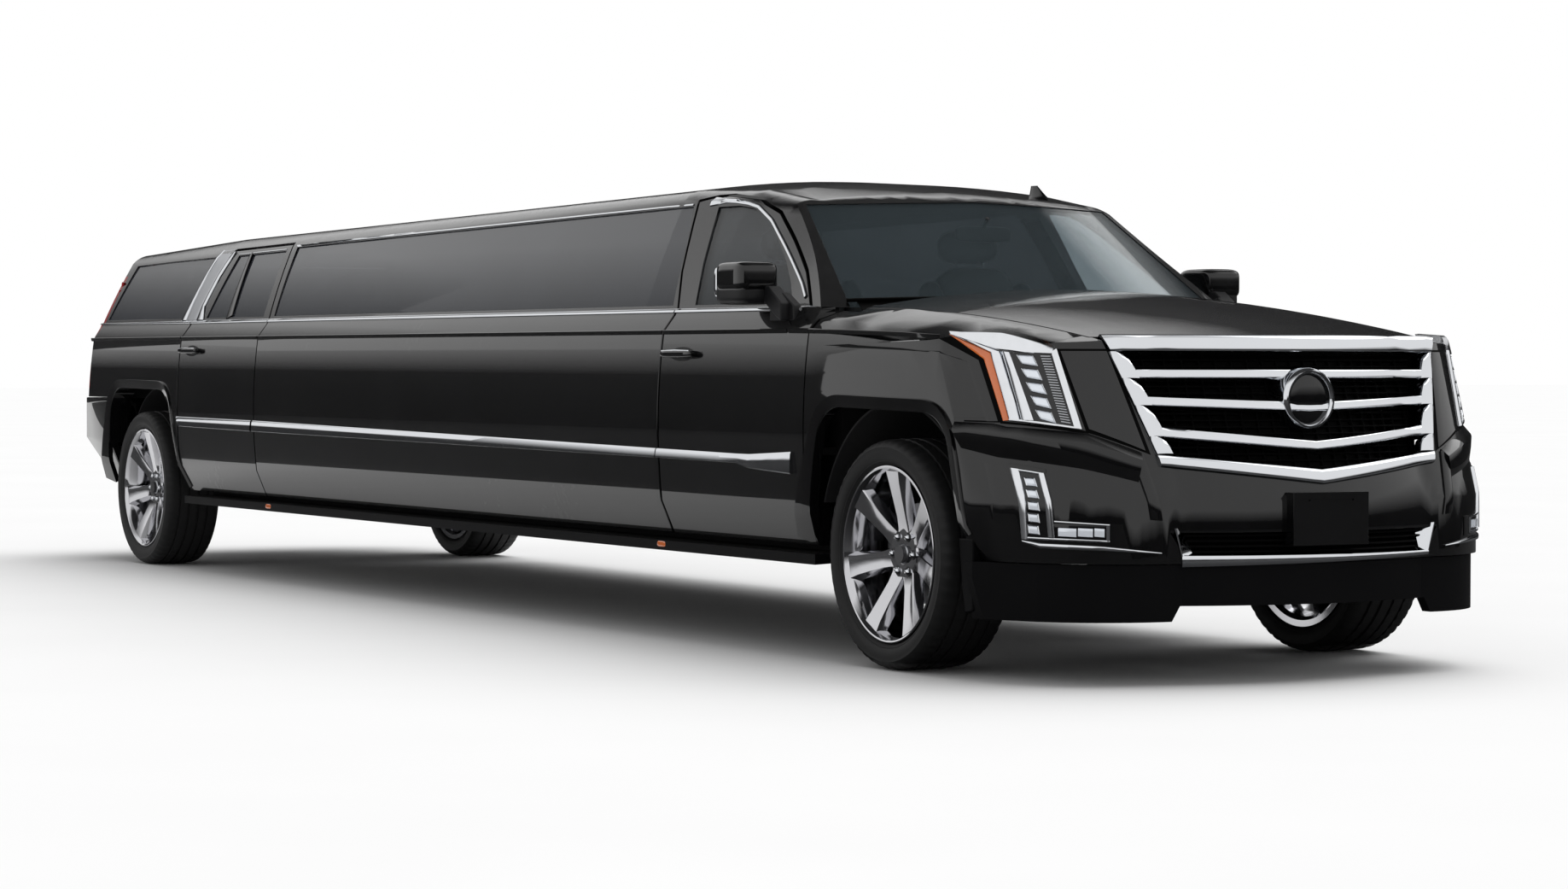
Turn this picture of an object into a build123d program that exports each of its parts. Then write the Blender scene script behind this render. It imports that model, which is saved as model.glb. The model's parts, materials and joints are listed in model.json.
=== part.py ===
"""Stretch limousine on a full-size sport utility body.

Frame: +X forward, +Y to the car's left, +Z up, millimetres. The origin is on the ground at the middle of
the car. Inside this file every station along the car is measured from the front axle, positive forwards,
and the finished parts are moved to the frame by X_FRONT_AXLE just before they are written.
"""
import os

from build123d import *

# ---------------------------------------------------------------- driving dimensions
WHEELBASE = 7490.0
FRONT_OVERHANG = 1150.0
REAR_OVERHANG = 1230.0
LENGTH = FRONT_OVERHANG + WHEELBASE + REAR_OVERHANG
X_FRONT_AXLE = LENGTH / 2 - FRONT_OVERHANG
X_REAR_AXLE = -WHEELBASE
TRACK = 1745.0

# heights of the body lines
Z_EDGE = 400.0            # lower edge of doors and side panels
Z_CREASE = 525.0          # where the rocker face turns in
Z_SIDE = 830.0            # widest line
Z_SHOULDER = 1165.0
Z_LEDGE = 1225.0          # upper end of the shoulder band
Z_BELT = 1245.0           # sill line of the windows

# half widths at those heights
Y_EDGE = 955.0
Y_CREASE = 1008.0
Y_SIDE = 1024.0
Y_SHOULDER = 1000.0
Y_LEDGE = 955.0
Y_BELT = 945.0

WALL = 110.0              # doors and side panels below the belt
FRAME_WALL = 32.0         # window frames and pillars
ROOF_WALL = 45.0
SKIN = 35.0               # hood, fenders and bumper covers
GAP = 8.0                 # between a moving panel and its neighbours
FRAME_GAP = 13.0          # between a door's window frame and the pillars

# stations of the panel joints
X_DOOR_FRONT = -545.0
X_DOOR_REAR = -1665.0
X_REAR_DOOR_FRONT = -5880.0
X_REAR_DOOR_REAR = -6935.0

# wheels
TYRE_R = 395.0
TYRE_WIDTH = 285.0
RIM_R = 303.0
HUB_Z = TYRE_R
SPINDLE_R = 30.0
KINGPIN_Y = 790.0
STEER_PIN_R = 14.0
RUNNING = 0.05            # radial clearance of pins and spindles
SPOKES = 7
BEAD_HALF = TYRE_WIDTH / 2 - 12.0   # half the width between the tyre's beads

BIG = 12000.0
SIDES = (("right", -1), ("left", 1))


# frame and floor
RAIL_Y = 440.0
RAIL_HALF = 42.0
RAIL_Z = (446.0, 545.0)
RAIL_X = (-8420.0, 870.0)
FLOOR_Z = (548.0, 590.0)
CROSS_MEMBERS = (-8300.0, -6900.0, -5700.0, -4500.0, -3300.0, -2100.0, -1100.0, 760.0)
OUTRIGGERS = (-6500.0, -1250.0)
JACK_PAD_X = -2600.0
JACK_PAD_DEPTH = 12.0

# tow bar receiver: outer and inner width of its square tube, its length, height and cross pin
TOW_SIDE = 76.0
TOW_BORE = 51.0
TOW_X = (-8690.0, -8420.0)
TOW_Z = 395.0
TOW_PIN_R = 8.0
TOW_PIN_X = -8640.0


# ---------------------------------------------------------------- helpers
def along_y(points, y0, y1):
    """A prism whose outline is given as (x, z) pairs and which runs from y0 to y1."""
    base = Face(Wire.make_polygon([(x, y0, z) for x, z in points]))
    return Solid.extrude(base, Vector(0, y1 - y0, 0))


def along_x(points, x0, x1):
    """A prism whose outline is given as (y, z) pairs and which runs from x0 to x1."""
    base = Face(Wire.make_polygon([(x0, y, z) for y, z in points]))
    return Solid.extrude(base, Vector(x1 - x0, 0, 0))


def along_z(points, z0, z1):
    """A prism whose outline is given as (x, y) pairs and which runs from z0 to z1."""
    base = Face(Wire.make_polygon([(x, y, z0) for x, y in points]))
    return Solid.extrude(base, Vector(0, 0, z1 - z0))


def block(x0, x1, y0, y1, z0, z1):
    """A box given by its extents."""
    return Pos((x0 + x1) / 2, (y0 + y1) / 2, (z0 + z1) / 2) * Box(x1 - x0, abs(y1 - y0), z1 - z0)


def side_block(x0, x1, side, y0, y1, z0, z1):
    """A box on one side of the car, given by its two half widths; side is -1 on the right, +1 on the left."""
    return block(x0, x1, side * y0, side * y1, z0, z1)


def rod_y(x, z, radius, y0, y1):
    """A round bar along Y."""
    return Pos(x, (y0 + y1) / 2, z) * Rot(90, 0, 0) * Cylinder(radius, abs(y1 - y0))


def rod_x(y, z, radius, x0, x1):
    """A round bar along X."""
    return Pos((x0 + x1) / 2, y, z) * Rot(0, 90, 0) * Cylinder(radius, abs(x1 - x0))


def rod_z(x, y, radius, z0, z1):
    """A round bar along Z."""
    return Pos(x, y, (z0 + z1) / 2) * Cylinder(radius, z1 - z0)


def tube_y(x, z, outer, inner, y0, y1):
    """A round ring along Y."""
    return rod_y(x, z, outer, y0, y1) - rod_y(x, z, inner, min(y0, y1) - 1, max(y0, y1) + 1)


def mirrored(shape):
    """The same shape on the other side of the car."""
    return mirror(shape, about=Plane.XZ)


def both(shape):
    """The shape and its mirror image, as one compound of separate solids."""
    return Compound(children=[*shape.solids(), *mirrored(shape).solids()])


def inset(points, d):
    """A convex or nearly convex outline moved inwards by d; a negative d moves it outwards."""
    n = len(points)
    pairs = [(points[i], points[(i + 1) % n]) for i in range(n)]
    area = sum(a[0] * b[1] - b[0] * a[1] for a, b in pairs)
    turn = 1.0 if area > 0 else -1.0
    lines = []
    for i in range(n):
        (x0, y0), (x1, y1) = points[i], points[(i + 1) % n]
        size = ((x1 - x0) ** 2 + (y1 - y0) ** 2) ** 0.5
        nx, ny = -(y1 - y0) / size * turn, (x1 - x0) / size * turn
        lines.append((x0 + nx * d, y0 + ny * d, x1 - x0, y1 - y0))
    moved = []
    for i in range(n):
        ax, ay, au, av = lines[i - 1]
        bx, by, bu, bv = lines[i]
        cross = au * bv - av * bu
        if abs(cross) < 1e-6 * (abs(au) + abs(av)) * (abs(bu) + abs(bv)):
            moved.append((bx, by))
            continue
        t = ((bx - ax) * bv - (by - ay) * bu) / cross
        moved.append((ax + au * t, ay + av * t))
    return moved


# ---------------------------------------------------------------- master volumes
# glasshouse sections: station, half widths of belt, window rail and turn into the roof, then the heights
# of the rail, of the turn and of the crown; the cabin narrows and falls towards the windscreen
ROOF_SECTIONS = (
    (-400.0, 881.0, 630.0, 520.0, 1520.0, 1536.0, 1548.0),
    (-900.0, 897.0, 671.0, 563.0, 1582.0, 1602.0, 1618.0),
    (-1200.0, 908.0, 699.0, 592.0, 1629.0, 1655.0, 1692.0),
    (-1500.0, 919.0, 725.0, 618.0, 1660.0, 1703.0, 1737.0),
    (-1950.0, 936.0, 765.0, 660.0, 1671.0, 1719.0, 1766.0),
    (-6900.0, 936.0, 765.0, 660.0, 1587.0, 1662.0, 1696.0),
    (-8800.0, 936.0, 765.0, 660.0, 1561.0, 1602.0, 1628.0),
)
SIDE_BOW = 6.0            # how far the side glass bulges between belt and rail
CANT_BOW = 8.0            # and the turn into the roof

# windscreen: base at the centre line, then how far the corners and the pillars lie behind it
SCREEN_BASE = (-380.0, 1240.0)
SCREEN_LEAN = -1.63       # x over z
SCREEN_CORNER = (255.0, 870.0)
SCREEN_PILLAR = (311.0, 960.0)

# tail at the centre line, and its plan: how far each (y) lies ahead of the centre
TAIL_BELT = (-8513.0, 1245.0)
TAIL_TOP = (-8444.0, 1590.0)
TAIL_FOOT = (-8606.0, 400.0)
TAIL_PLAN = ((54.0, 600.0), (135.0, 800.0), (193.0, 936.0), (255.0, 1024.0), (340.0, 1100.0))

# nose: plan outlines at two heights as (x, y) rows from the centre line outwards
NOSE_LOW_Z = 600.0
NOSE_HIGH_Z = 1150.0
NOSE_LOW = ((1120.0, 0.0), (1020.0, 500.0), (776.0, 904.0), (540.0, 1005.0))
NOSE_HIGH = ((940.0, 0.0), (835.0, 500.0), (600.0, 912.0), (300.0, 1002.0))
NOSE_BULGE = 45.0

# hood: an arc along the centre line through these (x, z), and its fall across
HOOD_LINE = ((-520.0, 1318.0), (220.0, 1264.0), (940.0, 1144.0))
HOOD_FALL = ((800.0, 68.0), (955.0, 118.0), (1100.0, 264.0))

FAR_BACK = -8800.0
X_MEET = -541.0           # where the cabin's lower walls start, behind the fenders


def lower_section(shrink, floor):
    """The lower body's section at x = 0, drawn in by shrink, from the floor height up to the belt."""
    rows = ((Y_EDGE, floor), (Y_CREASE, Z_CREASE), (Y_SIDE, Z_SIDE), (Y_SHOULDER, Z_SHOULDER),
            (Y_LEDGE, Z_LEDGE), (Y_BELT, Z_BELT))
    edges = []
    for s in (1, -1):
        p = [(0, s * (y - shrink), z) for y, z in rows]
        edges += [
            Edge.make_line(p[0], p[1]),
            Edge.make_three_point_arc(p[1], p[2], p[3]),
            Edge.make_line(p[3], p[4]),
            Edge.make_line(p[4], p[5]),
        ]
    edges.append(Edge.make_line((0, -(Y_EDGE - shrink), floor), (0, Y_EDGE - shrink, floor)))
    edges.append(Edge.make_line((0, -(Y_BELT - shrink), Z_BELT), (0, Y_BELT - shrink, Z_BELT)))
    return Face(Wire(edges))


def upper_wire(station, shrink, drop):
    """The glasshouse's section at one station, drawn in by shrink at its sides and lowered by drop."""
    x, belt_y, rail_y, turn_y, rail, turn, crown = station
    rail, turn, crown = rail - drop, turn - drop, crown - drop
    belt_y, rail_y, turn_y = belt_y - shrink, rail_y - shrink, turn_y - shrink
    bow_y = (belt_y + rail_y) / 2 + SIDE_BOW
    cant = ((rail_y + turn_y) / 2 + CANT_BOW, (rail + turn) / 2 + CANT_BOW)
    z_bow = (Z_BELT + rail) / 2
    return Wire([
        Edge.make_line((x, -belt_y, Z_BELT), (x, belt_y, Z_BELT)),
        Edge.make_three_point_arc((x, belt_y, Z_BELT), (x, bow_y, z_bow), (x, rail_y, rail)),
        Edge.make_three_point_arc((x, rail_y, rail), (x, *cant), (x, turn_y, turn)),
        Edge.make_three_point_arc((x, turn_y, turn), (x, 0, crown), (x, -turn_y, turn)),
        Edge.make_three_point_arc((x, -turn_y, turn), (x, -cant[0], cant[1]), (x, -rail_y, rail)),
        Edge.make_three_point_arc((x, -rail_y, rail), (x, -bow_y, z_bow), (x, -belt_y, Z_BELT)),
    ])


def glasshouse(shrink, drop):
    """The closed volume above the belt, before the screen and the tail cut it."""
    wires = [upper_wire(station, shrink, drop) for station in ROOF_SECTIONS]
    return Solid.make_loft(wires, ruled=True)


def run_x(face, x0, x1):
    """A face drawn at x = 0 swept straight from x0 to x1."""
    return Solid.extrude(face.moved(Location((x0, 0, 0))), Vector(x1 - x0, 0, 0))


def behind_screen(back):
    """Everything behind the windscreen's surface, which is moved back by the given distance."""
    low, high = 1000.0, 1900.0
    x = SCREEN_BASE[0] - back + (low - SCREEN_BASE[1]) * SCREEN_LEAN
    xc, yc = x - SCREEN_CORNER[0], SCREEN_CORNER[1]
    xp, yp = x - SCREEN_PILLAR[0], SCREEN_PILLAR[1]
    front = Edge.make_three_point_arc((xc, -yc, low), (x, 0, low), (xc, yc, low))
    rest = Wire.make_polygon([(xc, yc, low), (xp, yp, low), (xp, 1200.0, low), (-BIG, 1200.0, low),
                              (-BIG, -1200.0, low), (xp, -1200.0, low), (xp, -yp, low), (xc, -yc, low)],
                             close=False)
    lean = Vector(SCREEN_LEAN * (high - low), 0, high - low)
    return Solid.extrude(Face(Wire([front, *rest.edges()])), lean)


def tail_face(x, z):
    """Plan outline at height z that ends in the tail's bow at station x and runs far forward."""
    dx, y = TAIL_PLAN[0]
    bow = Edge.make_three_point_arc((x + dx, -y, z), (x, 0, z), (x + dx, y, z))
    side = [(x + dx, y, z) for dx, y in TAIL_PLAN] + [(1500.0, TAIL_PLAN[-1][1], z)]
    other = [(a, -b, c) for a, b, c in reversed(side)]
    return Face(Wire([bow, *Wire.make_polygon(side + other, close=False).edges()]))


def ahead_of_tail(ahead):
    """Everything ahead of the tail's surface, which is moved forward by the given distance."""
    (xb, zb), (xt, zt), (xf, zf) = TAIL_BELT, TAIL_TOP, TAIL_FOOT
    reach = 1.5
    upper = Solid.extrude(tail_face(xb + ahead, zb), Vector(xt - xb, 0, zt - zb) * reach)
    lower = Solid.extrude(tail_face(xb + ahead, zb), Vector(xf - xb, 0, zf - zb) * 1.1)
    return upper + lower


def nose_wire(row, back, z):
    """Closed plan outline of the nose at height z, drawn in by back."""
    p = [(x - back, max(y - back, 0.0)) for x, y in row]
    mid = ((p[1][0] + p[2][0]) / 2 + NOSE_BULGE, (p[1][1] + p[2][1]) / 2 + NOSE_BULGE)
    wide = 1100.0 - back
    half = []
    for s in (1, -1):
        q = [(x, s * y, z) for x, y in p]
        half.append([
            Edge.make_three_point_arc(q[1], (mid[0], s * mid[1], z), q[2]),
            Edge.make_line(q[2], q[3]),
            Edge.make_line(q[3], (-2000.0, s * wide, z)),
        ])
    centre = Edge.make_three_point_arc((p[1][0], -p[1][1], z), (p[0][0], 0, z), (p[1][0], p[1][1], z))
    end = Edge.make_line((-2000.0, wide, z), (-2000.0, -wide, z))
    return Wire([centre, *half[0], end, *reversed(half[1])])


def behind_nose(back):
    """Everything behind the nose's surface, drawn in by the given thickness."""
    low = nose_wire(NOSE_LOW, back, NOSE_LOW_Z)
    high = nose_wire(NOSE_HIGH, back, NOSE_HIGH_Z)
    lean = Vector(NOSE_HIGH[0][0] - NOSE_LOW[0][0], 0, NOSE_HIGH_Z - NOSE_LOW_Z) * 0.6
    skirt = Solid.extrude(Face(low), Vector(0, 0, -450.0))
    return Solid.make_loft([low, high], ruled=True) + Solid.extrude(Face(high), lean) + skirt


def below_hood(down):
    """Everything below the hood's surface, which is lowered by the given distance."""
    (x0, z0), (x1, z1), (x2, z2) = HOOD_LINE
    a, b = x1 - x0, z1 - z0
    c, d = x2 - x0, z2 - z0
    k = 2 * (a * d - b * c)
    xc = x0 + (d * (a * a + b * b) - b * (c * c + d * d)) / k
    zc = z0 + (a * (c * c + d * d) - c * (a * a + b * b)) / k
    top = zc + ((x0 - xc) ** 2 + (z0 - zc) ** 2) ** 0.5 - down
    crown_y, crown_fall = HOOD_FALL[0]
    edge = top - crown_fall
    crown = Edge.make_three_point_arc((xc, -crown_y, edge), (xc, 0, top), (xc, crown_y, edge))
    side = [(xc, y, top - fall) for y, fall in HOOD_FALL] + [(xc, HOOD_FALL[-1][0], top - 1200.0)]
    other = [(x, -y, z) for x, y, z in reversed(side)]
    face = Face(Wire([crown, *Wire.make_polygon(side + other, close=False).edges()]))
    half_turn = 24.0
    axis = Axis((xc, 0, zc), (0, 1, 0))
    return Solid.revolve(face.rotate(axis, -half_turn), 2 * half_turn, axis)


class Master:
    """The outer and inner volumes that every body panel is cut from."""

    def __init__(self):
        cabin = run_x(lower_section(0.0, Z_EDGE), FAR_BACK, X_MEET) & ahead_of_tail(0.0)
        cabin_in = run_x(lower_section(WALL, 300.0), FAR_BACK, 0.0) & ahead_of_tail(WALL - 30.0)
        self.low_wall = cabin - cabin_in
        top = glasshouse(0.0, 0.0) & behind_screen(0.0) & ahead_of_tail(0.0)
        top_in = glasshouse(FRAME_WALL, ROOF_WALL) & behind_screen(70.0) & ahead_of_tail(60.0)
        self.top = top
        self.top_wall = top - top_in
        self.glazing = (glasshouse(5.0, 5.0) & behind_screen(6.0) & ahead_of_tail(8.0)) - (
            glasshouse(12.0, 12.0) & behind_screen(20.0) & ahead_of_tail(18.0))
        front = run_x(lower_section(0.0, Z_EDGE), -950.0, 1500.0)
        front += block(-950.0, 1500.0, -Y_BELT, Y_BELT, Z_SHOULDER, 1400.0)
        inner = run_x(lower_section(SKIN, 300.0), -1050.0, 1500.0)
        inner += block(-1050.0, 1500.0, SKIN - Y_BELT, Y_BELT - SKIN, Z_SHOULDER, 1400.0)
        self.nose = behind_nose(0.0)
        self.front = front & self.nose & below_hood(0.0)
        self.front_wall = self.front - (inner & behind_nose(SKIN) & below_hood(SKIN))
        self.hood_skin = self.front - below_hood(SKIN)


# ---------------------------------------------------------------- outlines shared by panels and glass
FRONT_FRAME = ((-668.0, 1150.0), (-722.0, 1245.0), (-891.0, 1379.0), (-1081.0, 1502.0), (-1252.0, 1607.0),
               (-1436.0, 1664.0), (-1649.0, 1686.0), (-1745.0, 1684.0), (-1838.0, 1670.0), (-1759.0, 1395.0),
               (-1684.0, 1241.0), (-1668.0, 1150.0))
FRONT_GLASS = ((-874.0, 1264.0), (-952.0, 1336.0), (-1083.0, 1435.0), (-1234.0, 1538.0), (-1349.0, 1601.0),
               (-1435.0, 1629.0), (-1538.0, 1642.0), (-1681.0, 1641.0), (-1627.0, 1426.0), (-1568.0, 1263.0))
LONG_GLASS = ((-1738.0, 1263.0), (-1769.0, 1373.0), (-1804.0, 1510.0), (-1860.0, 1648.0), (-5952.0, 1597.0),
              (-5851.0, 1262.0))
REAR_FRAME = ((-5888.0, 1150.0), (-5904.0, 1250.0), (-6026.0, 1616.0), (-6810.0, 1604.0), (-6862.0, 1472.0),
              (-6887.0, 1301.0), (-6887.0, 1240.0), (-6887.0, 1150.0))
REAR_GLASS = ((-5989.0, 1262.0), (-6075.0, 1583.0), (-6719.0, 1574.0), (-6746.0, 1405.0), (-6768.0, 1262.0))
QUARTER_GLASS = ((-7065.0, 1262.0), (-7033.0, 1472.0), (-7009.0, 1574.0), (-7755.0, 1564.0),
                 (-8220.0, 1553.0),
                 (-8256.0, 1262.0))
SCREEN_OPENING = ((-799.0, 1200.0), (799.0, 1200.0), (799.0, 1246.0), (662.0, 1634.0), (0.0, 1652.0),
                  (-662.0, 1634.0), (-799.0, 1246.0))
TAIL_OPENING = ((-800.0, 870.0), (800.0, 870.0), (812.0, 1245.0), (705.0, 1560.0), (-705.0, 1560.0),
                (-812.0, 1245.0))
TAIL_GLASS = ((-690.0, 1290.0), (690.0, 1290.0), (625.0, 1512.0), (-625.0, 1512.0))

# wheel arch corners about the axle, as (x, z); the upper two are rounded
FRONT_ARCH = ((-560.0, 150.0), (-560.0, 395.0), (-425.0, 896.0),
              (365.0, 880.0), (500.0, 395.0), (500.0, 150.0))
REAR_ARCH = ((-560.0, 150.0), (-560.0, 395.0), (-430.0, 908.0),
             (400.0, 900.0), (560.0, 395.0), (560.0, 150.0))
ARCH_ROUND = 170.0

# plan lines as half width at x = 0 and behind NECK_X: how far in the window frames of the doors reach, and
# the joint between the roof panel and the cab's side frames
NECK_X = -1950.0
FRAME_INNER = (548.0, 722.0)
ROOF_JOINT = (478.0, 655.0)
BODY_Y = 1100.0           # beyond the widest point of the body

# hood shut line in plan
HOOD_REAR = ((-440.0, 825.0), (-400.0, 0.0))
HOOD_FRONT = ((744.0, 680.0), (952.0, 0.0))
HOOD_AXIS = (-455.0, 1240.0)
HOOD_GAP = 7.0
HOOD_KNUCKLE_Y = (735.0, 760.0)
HOOD_KNUCKLE_R = 11.0
HOOD_PIN_R = 6.0

# front face outlines as (y, z), right half or whole
GRILLE = ((-680.0, 1140.0), (680.0, 1140.0), (556.0, 712.0), (0.0, 652.0), (-556.0, 712.0))
GRILLE_OPENING = ((-612.0, 1082.0), (612.0, 1082.0), (506.0, 752.0), (0.0, 700.0), (-506.0, 752.0))
GRILLE_BARS = ((1012.0, 0.0), (924.0, 20.0), (824.0, 46.0))   # height at the sides and dip at the centre
BAR_HALF = 16.0
LAMP = ((812.0, 1160.0), (812.0, 1122.0), (778.0, 832.0), (990.0, 866.0), (1060.0, 866.0), (1060.0, 1160.0))
LAMP_BACK = ((376.0, 1142.0), (705.0, 862.0), (705.0, 700.0),
             (1200.0, 700.0), (1200.0, 1200.0), (376.0, 1200.0))
CORNER_LAMP = ((968.0, 716.0), (905.0, 694.0), (888.0, 525.0), (700.0, 520.0), (700.0, 467.0), (965.0, 478.0))
INTAKE = ((-490.0, 420.0), (490.0, 420.0), (545.0, 500.0), (-545.0, 500.0))
BUMPER_TOP = 867.0        # line between the fender and the bumper
FENDER_FOOT = 430.0       # where the fender's lower part ends behind the bumper
FENDER_NOSE = 720.0       # where its upper part ends
BADGE = (0.0, 915.0, 104.0)
BADGE_X = (993.0, 1052.0)

# number plates: width, height, bolt spacing and hole; then the face and the middle height of each holder
PLATE = (305.0, 173.0)
PLATE_BOLTS = 178.0
PLATE_HOLE_R = 3.5
PLATE_BOLT_UP = 60.0      # height of the bolts above the plate's middle
FRONT_PLATE = (FRONT_OVERHANG, 542.0)
REAR_PLATE = (-WHEELBASE - REAR_OVERHANG, 660.0)

# rear bumper: plan as (x, y) rows from the arch backwards, the centre of its bow, and its heights
BUMPER_PLAN = ((-8040.0, 1016.0), (-8380.0, 1008.0), (-8590.0, 930.0), (-8690.0, 700.0))
BUMPER_BACK = REAR_PLATE[0]
BUMPER_Z = (440.0, 640.0, 850.0)
BUMPER_TUCK = 95.0
BUMPER_WALL = 38.0
BUMPER_FRONT = -8000.0    # where its sides end, behind the wheel arch
BUMPER_SPARE = 300.0      # how far its volume runs on ahead before it is cut there
TAIL_LAMP_X = -8288.0

# door hinges: the pin's half width and how far it lies behind the door's edge, then the hinges' heights
HINGE_Y = 1008.0
HINGE_BEHIND = 30.0
HINGE_HEIGHTS = (720.0, 930.0)
HINGE_PIN_R = 6.0
HINGE_KNUCKLE_R = 9.5
DOOR_INNER_Y = 880.0      # inner face of the doors' lower part
DOOR_UNDERCUT = 16.0      # how much shorter the doors are at that face, at their rear edge
# the windscreen pillar's foot needs the door clear ahead of this x, inboard of this y and above this z
PILLAR_FOOT = (-745.0, 891.0, 1130.0)


def arch_cut(axle_x, corners):
    """The prism that opens a wheel arch through both sides."""
    face = Face(Wire.make_polygon([(axle_x + x, -BODY_Y, z) for x, z in corners]))
    upper = face.vertices().sort_by(Axis.Z)[-2:]
    return Solid.extrude(face.fillet_2d(ARCH_ROUND, upper), Vector(0, 2 * BODY_Y, 0))


def inside_plan(line, extra):
    """Everything inboard of a plan line on both sides; extra moves the line inboard."""
    front_y, cabin_y = line[0] - extra, line[1] - extra
    side = [(0.0, front_y), (NECK_X, cabin_y), (-9000.0, cabin_y)]
    other = [(x, -y) for x, y in reversed(side)]
    return along_z(side + other, 1000.0, 2000.0)


def side_prism(points, grow, y0, y1):
    """A side-view outline, grown outwards by the given distance, as a prism between two half widths."""
    return along_y(inset(points, -grow), y0, y1)


def door_plan(front, rear):
    """Plan of a door's lower part: the rear edge is undercut so that it clears the panel behind."""
    return along_z([(front, -BODY_Y), (rear, -BODY_Y), (rear + DOOR_UNDERCUT, -DOOR_INNER_Y),
                    (front, -DOOR_INNER_Y)], Z_EDGE, Z_BELT)


def hinge_pocket(axis_x, z):
    """Space that a hinge needs in the door, from the edge to just behind the pin."""
    return block(axis_x - 18.0, axis_x + 60.0, -HINGE_Y - 10.0, -DOOR_INNER_Y, z - 32.0, z + 32.0)


def door_hinges(axis_x):
    """Door-side knuckles and body-side brackets with pins, for a right-hand door."""
    leaf, bracket = None, None
    for z in HINGE_HEIGHTS:
        knuckle = rod_z(axis_x, -HINGE_Y, HINGE_KNUCKLE_R, z - 32.0, z - 2.0)
        knuckle += block(axis_x - 20.0, axis_x, -HINGE_Y - 4.0, -HINGE_Y + 9.0, z - 32.0, z - 2.0)
        knuckle -= rod_z(axis_x, -HINGE_Y, HINGE_PIN_R + RUNNING, z - 40.0, z + 10.0)
        arm = rod_z(axis_x, -HINGE_Y, HINGE_KNUCKLE_R, z, z + 26.0)
        arm += rod_z(axis_x, -HINGE_Y, HINGE_PIN_R, z - 26.0, z + 10.0)
        arm += block(axis_x - 8.0, axis_x + 8.0, -HINGE_Y, -860.0, z, z + 26.0)
        arm += block(axis_x - 8.0, axis_x + 90.0, -872.0, -850.0, z - 20.0, z + 40.0)
        leaf = knuckle if leaf is None else leaf + knuckle
        bracket = arm if bracket is None else bracket + arm
    return leaf, bracket


def door(master, front, rear, frame, glass, foot):
    """A right-hand door shell with its window frame, its pane and the brackets that carry it."""
    axis_x = front - GAP / 2 - HINGE_BEHIND
    lower = master.low_wall & door_plan(front - GAP / 2, rear + GAP / 2)
    lower -= foot
    for z in HINGE_HEIGHTS:
        lower -= hinge_pocket(axis_x, z)
    foot_x, foot_y, foot_z = PILLAR_FOOT
    lower -= block(foot_x, 0.0, -foot_y, -800.0, foot_z, Z_BELT + 1.0)
    outline = side_prism(frame, -FRAME_GAP / 2, -BODY_Y, 0.0) - inside_plan(FRAME_INNER, 0.0)
    upper = (master.top_wall & outline) - along_y(glass, -BODY_Y, 0.0)
    pane = master.glazing & along_y(glass, -BODY_Y, -600.0)
    leaf, bracket = door_hinges(axis_x)
    return lower + upper + leaf, pane, bracket


def hood_plan(grow):
    """Plan prism of the hood, grown sideways and rearwards by the given distance."""
    (xr, yr), (xc, _) = HOOD_REAR
    (xf, yf), (xn, _) = HOOD_FRONT
    z = 1000.0
    rear = Edge.make_three_point_arc((xr - grow, yr + grow, z), (xc - grow, 0, z), (xr - grow, -yr - grow, z))
    x, y = xf + grow, yf + grow
    front = Edge.make_three_point_arc((x, -y, z), (xn + grow, 0, z), (x, y, z))
    right = Edge.make_line((xr - grow, -yr - grow, z), (xf + grow, -yf - grow, z))
    left = Edge.make_line((xf + grow, yf + grow, z), (xr - grow, yr + grow, z))
    return Solid.extrude(Face(Wire([rear, right, front, left])), Vector(0, 0, 400.0))


# ---------------------------------------------------------------- wheels
def tyre(x, y, s):
    """A low-profile tyre on the rim, turned about its axle."""
    half = TYRE_WIDTH / 2
    rows = ((RIM_R - 12.0, -half + 12.0), (RIM_R + 20.0, -half), (TYRE_R - 28.0, -half + 4.0),
            (TYRE_R - 4.0, -half + 34.0), (TYRE_R, 0.0), (TYRE_R - 4.0, half - 34.0),
            (TYRE_R - 28.0, half - 4.0),
            (RIM_R + 20.0, half), (RIM_R - 12.0, half - 12.0))
    ring = Face(Wire.make_polygon([(r, b, 0) for r, b in rows]))
    solid = Solid.revolve(ring, 360, Axis((0, 0, 0), (0, 1, 0)))
    return Pos(x, s * y, HUB_Z) * solid


def rim(x, y, s):
    """A rim with tapered spokes, hub and brake disc; s is +1 on the left side."""
    outer = RIM_R - 12.0
    rows = ((outer, -BEAD_HALF), (outer, BEAD_HALF), (outer - 14.0, BEAD_HALF), (outer - 26.0, 60.0),
            (outer - 26.0, -100.0), (outer - 10.0, -BEAD_HALF))
    section = Face(Wire.make_polygon([(r, b, 0) for r, b in rows]))
    barrel = Solid.revolve(section, 360, Axis((0, 0, 0), (0, 1, 0)))
    hub = rod_y(0, 0, 88.0, 6.0, 92.0) + rod_y(0, 0, 40.0, 92.0, 104.0)
    shape = barrel + hub
    spoke = along_y([(-46.0, 60.0), (-30.0, 275.0), (30.0, 275.0), (46.0, 60.0)], 62.0, 98.0)
    for n in range(SPOKES):
        shape += spoke.rotate(Axis((0, 0, 0), (0, 1, 0)), 360.0 * n / SPOKES)
    disc = tube_y(0, 0, 178.0, 60.0, 6.0, 34.0)
    shape += disc
    shape -= rod_y(0, 0, SPINDLE_R + RUNNING, 0.0, 86.0)
    if s < 0:
        shape = mirrored(shape)
    return Pos(x, s * y, HUB_Z) * shape


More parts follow.
